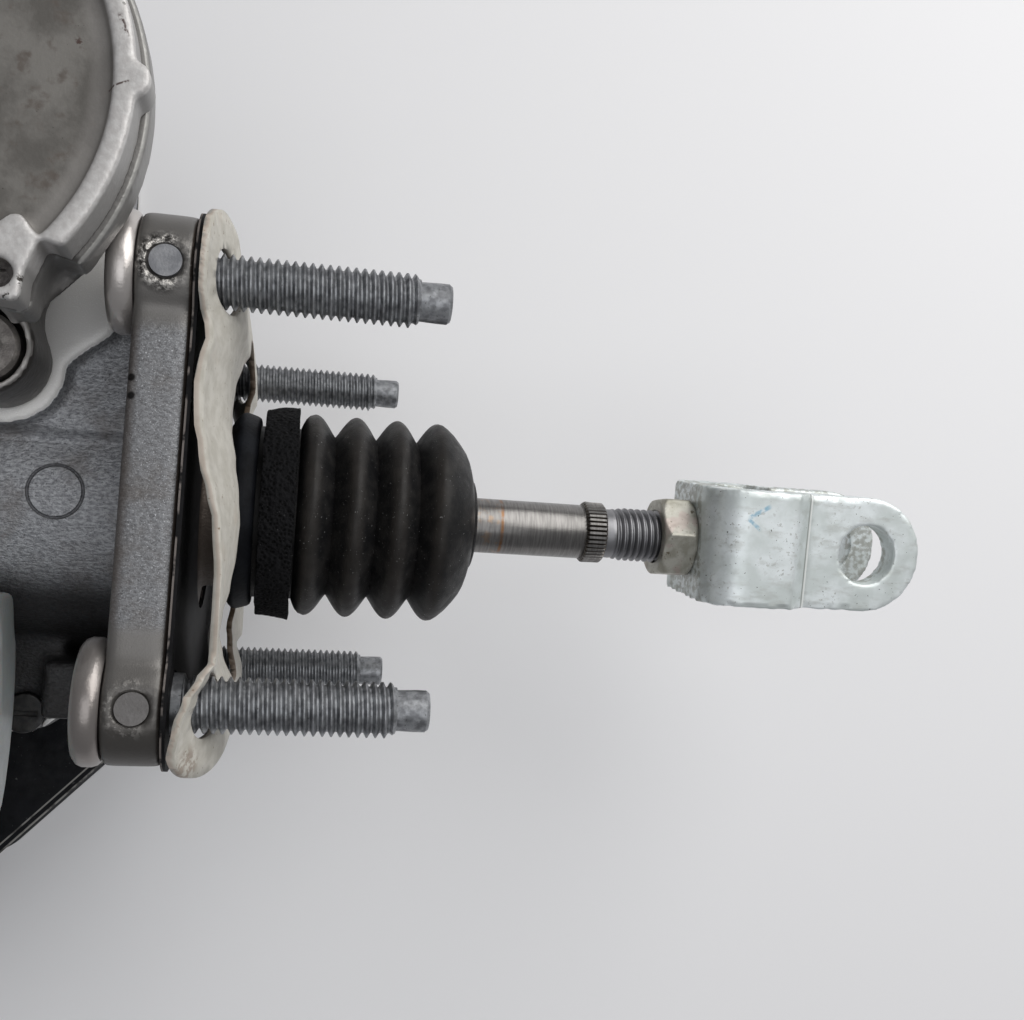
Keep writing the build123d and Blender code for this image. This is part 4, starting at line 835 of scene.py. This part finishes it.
# Painted light: the dish's rising side is lightened against the shade the rim casts on it.
dish_side_painted_light = both(rise(from_axis, 28.5, 30.5, 0.0, 0.7), rise(mottle, 0.30, 0.60, 0.7, 1.0))
nicks = both(rise(from_axis, rim_r + 0.6, rim_r + 1.6),
             rise(cloud(lid_skin, 1.2, 3.0, stretch=(1, 1, 0.4)), 0.56, 0.62),
             rise(cloud(lid_skin, 0.06, 1.0), 0.46, 0.54), rise(lid_z, rim_level - 1.0, rim_level - 0.2))
# Painted shade on the rim's outer side, below its top.
rim_side_painted_shade = both(rise(lid_z, rim_level, rim_level - 0.8), rise(from_axis, rim_r + 0.4, rim_r + 1.0), 0.8)
scratch = both(either(stroke(lid_skin, (-10.8, 57.4), (-9.4, 53.9), 0.8),
                      stroke(lid_skin, (-11.6, 47.4), (-8.8, 48.7), 0.35),
                      stroke(lid_skin, (-16.0, 54.4), (-15.0, 52.6), 1.0)),
               rise(cloud(lid_skin, 1.4, 4.0), 0.44, 0.54), 0.9)
dish_tone = layered(
    tint(rise(mottle, 0.40, 0.60), (0.112, 0.105, 0.096), (0.195, 0.186, 0.172)),
    (rise(cloud(lid_skin, 0.3, 5.0), 0.56, 0.72), (0.115, 0.098, 0.086)),
    (rise(cloud(lid_skin, 1.5, 2.0), 0.73, 0.77), (0.05, 0.045, 0.04)),
    (dish_side_painted_light, (0.30, 0.285, 0.27)))
lid_tone = layered(
    tint(rise(cloud(lid_skin, 1.2, 4.0), 0.35, 0.7), (0.49, 0.475, 0.465), (0.58, 0.57, 0.56)),
    (in_dish, dish_tone),
    (nicks, (0.04, 0.035, 0.03)),
    (rim_side_painted_shade, (0.26, 0.255, 0.25)),
    (scratch, (0.06, 0.03, 0.025)))
show(lid_skin, lid_tone, rise(in_dish, 0, 1, 0.46, 0.58))
relief(lid_skin, cloud(lid_skin, 1.4, 4.0), 0.05)
lid = melted(copy_of("motor_cover"), cell=0.42, rounds=9, share=0.5)
for dot in lid.verts:
    if hypot(dot.co.x - motor_x, dot.co.y - motor_y) < dish_r and dish_floor < dot.co.z < rim_level:
        dot.co.z = rim_level - dish_share * (rim_level - dot.co.z)
make_piece("motor_lid", lid, lid_skin, "root", "lid_aluminium", "motor_cover")
screw_black = worked("black_screw", (0.055, 0.05, 0.048), (0.13, 0.12, 0.115), 0.38, 0.8, scale=0.6,
                     depth=0.04)
coat(screw_black, "motor_cover_screws")

# ---- Control unit ----
# A black glass filled nylon case under the block, closed by a thin painted aluminium lid.
# Painted highlights, broken up in patches, run along the case's edges and the lid's rim.


def softened(node, width):
    """A CAD node's skin with its sharp corners rounded."""
    mesh = copy_of(node)
    bmesh.ops.dissolve_limit(mesh, angle_limit=radians(1.0), verts=mesh.verts, edges=mesh.edges)
    corners = [edge for edge in mesh.edges if edge.is_manifold and edge.calc_face_angle() > radians(35)]
    bmesh.ops.bevel(mesh, geom=corners, affect="EDGES", offset=width, offset_type="OFFSET", segments=2,
                    profile=0.5, material=-1, clamp_overlap=True)
    bmesh.ops.triangulate(mesh, faces=mesh.faces)
    return mesh


case_end, case_side, case_foot, case_top = -14.0, -75.0, -71.3, -47.3
case_cut, diagonal = 21.92, 0.7071
nylon = new_finish("case_nylon", (0.02, 0.02, 0.022), 0.5, Specular_IOR_Level=0.12)
unit_x, unit_y, unit_z = (along(nylon, axis) for axis in "XYZ")
# Painted highlights, broken up in patches, along the case's foot and its chamfered top edges.
foot_edge_highlight = both(rise(unit_z, case_foot + 0.4, case_foot), rise(cloud(nylon, 0.35, 4.0), 0.28, 0.5))
past_cut = sums("SUBTRACT", both(sums("SUBTRACT", unit_x, unit_y), diagonal), case_cut)
to_side = either(sums("SUBTRACT", unit_x, case_end), sums("SUBTRACT", case_side, unit_y), past_cut)
edge_highlight_lines = either(rise(to_side, -0.45, -0.25), both(rise(to_side, -1.6, -1.45), rise(to_side, -1.15, -1.3)))
edge_highlight_lines = both(edge_highlight_lines, rise(unit_z, case_top - 0.3, case_top),
                  rise(cloud(nylon, 0.3, 4.0), 0.38, 0.52, 0.25, 0.9))
nylon_tone = layered(
    tint(rise(cloud(nylon, 0.15, 4.0), 0.35, 0.7), (0.003, 0.0035, 0.005), (0.008, 0.0085, 0.011)),
    (rise(cloud(nylon, 1.4, 2.0), 0.70, 0.76), (0.07, 0.07, 0.07)),
    (foot_edge_highlight, (0.42, 0.41, 0.39)),
    (edge_highlight_lines, (0.36, 0.35, 0.33)))
show(nylon, nylon_tone, rise(cloud(nylon, 0.5, 4.0), 0.3, 0.7, 0.40, 0.56))
relief(nylon, cloud(nylon, 2.0, 3.0), 0.05)
make_piece("unit_case", softened("control_unit_case", 0.5), nylon, "root", "case_plastic",
           "control_unit_case", sharp=50)

rim_low, rim_high = -73.55, -72.7
lid_paint = new_finish("unit_lid_paint", (0.02, 0.02, 0.022), 0.40)
paint_z = along(lid_paint, "Z")
# A painted highlight along the lid's rim, broken up in patches.
lid_rim_highlight = both(rise(paint_z, rim_low - 0.2, rim_low), rise(paint_z, rim_high + 0.2, rim_high),
                rise(cloud(lid_paint, 0.4, 4.0), 0.26, 0.42))
show(lid_paint, layered(
    tint(rise(cloud(lid_paint, 0.2, 4.0), 0.35, 0.7), (0.012, 0.013, 0.016), (0.026, 0.027, 0.031)),
    (lid_rim_highlight, (0.62, 0.61, 0.59))))
relief(lid_paint, cloud(lid_paint, 1.4, 3.0), 0.05)
make_piece("unit_lid", softened("control_unit_lid", 0.3), lid_paint, "root", "lid_aluminium",
           "control_unit_lid", sharp=50)
coat(screw_black, "control_unit_screws")

# ---- Fluid reservoir ----
# A blow moulded polythene tank, milky with a cold tint, plugged into the block through two grommets.
# A ribbed black cap closes its neck, and a foam filled float rises with the fluid.
polythene = new_finish("tank_polythene", (0.42, 0.44, 0.44), 0.35, Subsurface_Weight=0.2,
                       Subsurface_Scale=0.004)
tank_tone = layered(
    tint(rise(cloud(polythene, 0.05, 3.0), 0.35, 0.7), (0.34, 0.37, 0.37), (0.46, 0.49, 0.49)),
    (rise(cloud(polythene, 1.0, 3.0), 0.68, 0.77), (0.26, 0.27, 0.26)))
show(polythene, tank_tone, rise(cloud(polythene, 0.3, 4.0), 0.3, 0.7, 0.28, 0.42))
relief(polythene, cloud(polythene, 0.6, 3.0), 0.12)
make_piece("reservoir_tank", melted(copy_of("reservoir_body"), cell=0.9, rounds=3, share=0.5), polythene,
           "root", "tank_plastic", "reservoir_body")
cap_black = worked("cap_plastic", (0.014, 0.014, 0.015), (0.034, 0.034, 0.036), 0.46, scale=0.4, depth=0.05)
make_piece("fluid_cap", softened("reservoir_cap", 0.5), cap_black, "reservoir_cap", "cap_plastic",
           "reservoir_cap", sharp=50)
foam_float = worked("float_foam", (0.30, 0.25, 0.16), (0.46, 0.40, 0.28), 0.8, scale=0.8, depth=0.2)
coat(foam_float, "level_float")
grommet_rubber = worked("grommet_rubber", (0.010, 0.010, 0.011), (0.022, 0.022, 0.023), 0.6, scale=0.8,
                        depth=0.03)
coat(grommet_rubber, "feed_grommets")

# ---- Block caps ----
# The pedal feel simulator's bore is closed by a turned aluminium cap, and the drilling
# beside the flange by a slotted black plug.
turned_cap = worked("turned_cap", (0.46, 0.46, 0.47), (0.60, 0.60, 0.61), 0.34, 0.95, scale=0.5, depth=0.03)
make_piece("simulator_plug", softened("simulator_cap", 0.4), turned_cap, "root", "machined_casting",
           "simulator_cap", sharp=50)
plug_black = worked("plug_black", (0.020, 0.020, 0.021), (0.050, 0.048, 0.046), 0.40, 0.3, scale=0.8,
                    depth=0.04)
make_piece("drilling_plug", softened("block_plug", 0.15), plug_black, "root", "plug_plastic", "block_plug",
           sharp=50)

# ---- Master cylinder's inside ----
# Two anodised pistons in line behind the push rod's ball, with rubber seals in the bore's grooves.
# A spring steel retainer keeps the ball in its seat.
anodised = worked("anodised_piston", (0.40, 0.38, 0.33), (0.56, 0.54, 0.48), 0.30, 0.9, scale=0.3,
                  stretch=(4, 0.4, 0.4))
coat(anodised, "primary_piston", "secondary_piston", "simulator_piston", "pressure_plunger")
spring_steel = worked("spring_steel", (0.22, 0.22, 0.23), (0.36, 0.36, 0.38), 0.32, 0.95, scale=0.9,
                      depth=0.02)
coat(spring_steel, "ball_retainer", "piston_stop_ring")
coat(grommet_rubber, "piston_seals", "plunger_seals")


def coil(name, body, start, end, axis, centre, turns):
    """A coil spring of round wire that spans its part's length and rides on a body."""
    mesh = bmesh.new()
    wire, radius, steps = 0.9, 6.2, 24
    bmesh.ops.create_circle(mesh, cap_ends=True, radius=wire, segments=10)
    bmesh.ops.rotate(mesh, verts=mesh.verts, cent=(0, 0, 0), matrix=Matrix.Rotation(pi / 2, 3, "X"))
    moved(mesh, radius, 0, start + wire)
    climb = (end - start - 2 * wire) / (turns * steps)
    bmesh.ops.spin(mesh, geom=mesh.verts[:] + mesh.edges[:] + mesh.faces[:], cent=(0, 0, 0), axis=(0, 0, 1),
                   dvec=(0, 0, climb), angle=tau * turns, steps=turns * steps, use_merge=False)
    along_x = axis == (1, 0, 0)
    if along_x:
        bmesh.ops.rotate(mesh, verts=mesh.verts, cent=(0, 0, 0), matrix=Matrix.Rotation(pi / 2, 3, "Y"))
    moved(mesh, *centre)
    piece = make_piece(name + "_coil", mesh, spring_steel, body, "spring_steel", name, sharp=60)
    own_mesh(piece)


low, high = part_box("primary_spring")
coil("primary_spring", "secondary_piston", low[0] / MM, high[0] / MM, (1, 0, 0), (0, 0, 0),
     9)
low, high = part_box("secondary_spring")
coil("secondary_spring", "root", low[0] / MM, high[0] / MM, (1, 0, 0), (0, 0, 0),
     6)
low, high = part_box("simulator_spring")
coil("simulator_spring", "root", low[2] / MM, high[2] / MM, (0, 0, 1),
     ((low[0] + high[0]) / 2 / MM, (low[1] + high[1]) / 2 / MM, 0), 6)

# ---- Motor's inside ----
# A laminated stator with copper windings round a magnet rotor. The rotor turns a ball nut,
# which drives the screw and the pressure plunger down.
lamination = worked("lamination_steel", (0.12, 0.12, 0.13), (0.22, 0.22, 0.23), 0.42, 0.9, scale=0.5,
                    stretch=(0.2, 0.2, 8))
coat(lamination, "stator_core", "rotor_hub")
copper = worked("enamelled_copper", (0.36, 0.13, 0.05), (0.58, 0.24, 0.10), 0.32, 0.9, scale=0.8,
                stretch=(0.4, 0.4, 6), depth=0.1)
coat(copper, "stator_windings")
magnet_grey = worked("sintered_magnet", (0.10, 0.10, 0.105), (0.18, 0.18, 0.19), 0.40, 0.7, scale=0.8,
                     depth=0.02)
coat(magnet_grey, "rotor_magnets")
bearing_steel = worked("bearing_steel", (0.44, 0.44, 0.45), (0.60, 0.60, 0.62), 0.18, 1.0, scale=0.4)
coat(bearing_steel, "bearing_outer_ring", "bearing_inner_ring", "bearing_balls", "ball_nut", "screw_spindle")

# ---- Control unit's inside ----
# A green board carries the coils that sit on the block's valve stems.
# Gilded brass pins stand in the wiring socket.
board_green = worked("board_laminate", (0.012, 0.07, 0.035), (0.02, 0.12, 0.06), 0.38, scale=0.8, depth=0.05)
coat(board_green, "circuit_board")
valve_steel = worked("valve_steel", (0.34, 0.34, 0.35), (0.48, 0.48, 0.50), 0.30, 0.95, scale=0.7)
coat(valve_steel, "valve_cartridges")
coil_black = worked("coil_plastic", (0.012, 0.012, 0.013), (0.028, 0.028, 0.030), 0.5, scale=0.6, depth=0.05)
coat(coil_black, "valve_coils")
pin_brass = worked("pin_brass", (0.50, 0.34, 0.12), (0.68, 0.50, 0.20), 0.26, 0.95, scale=1.2)
coat(pin_brass, "connector_pins")
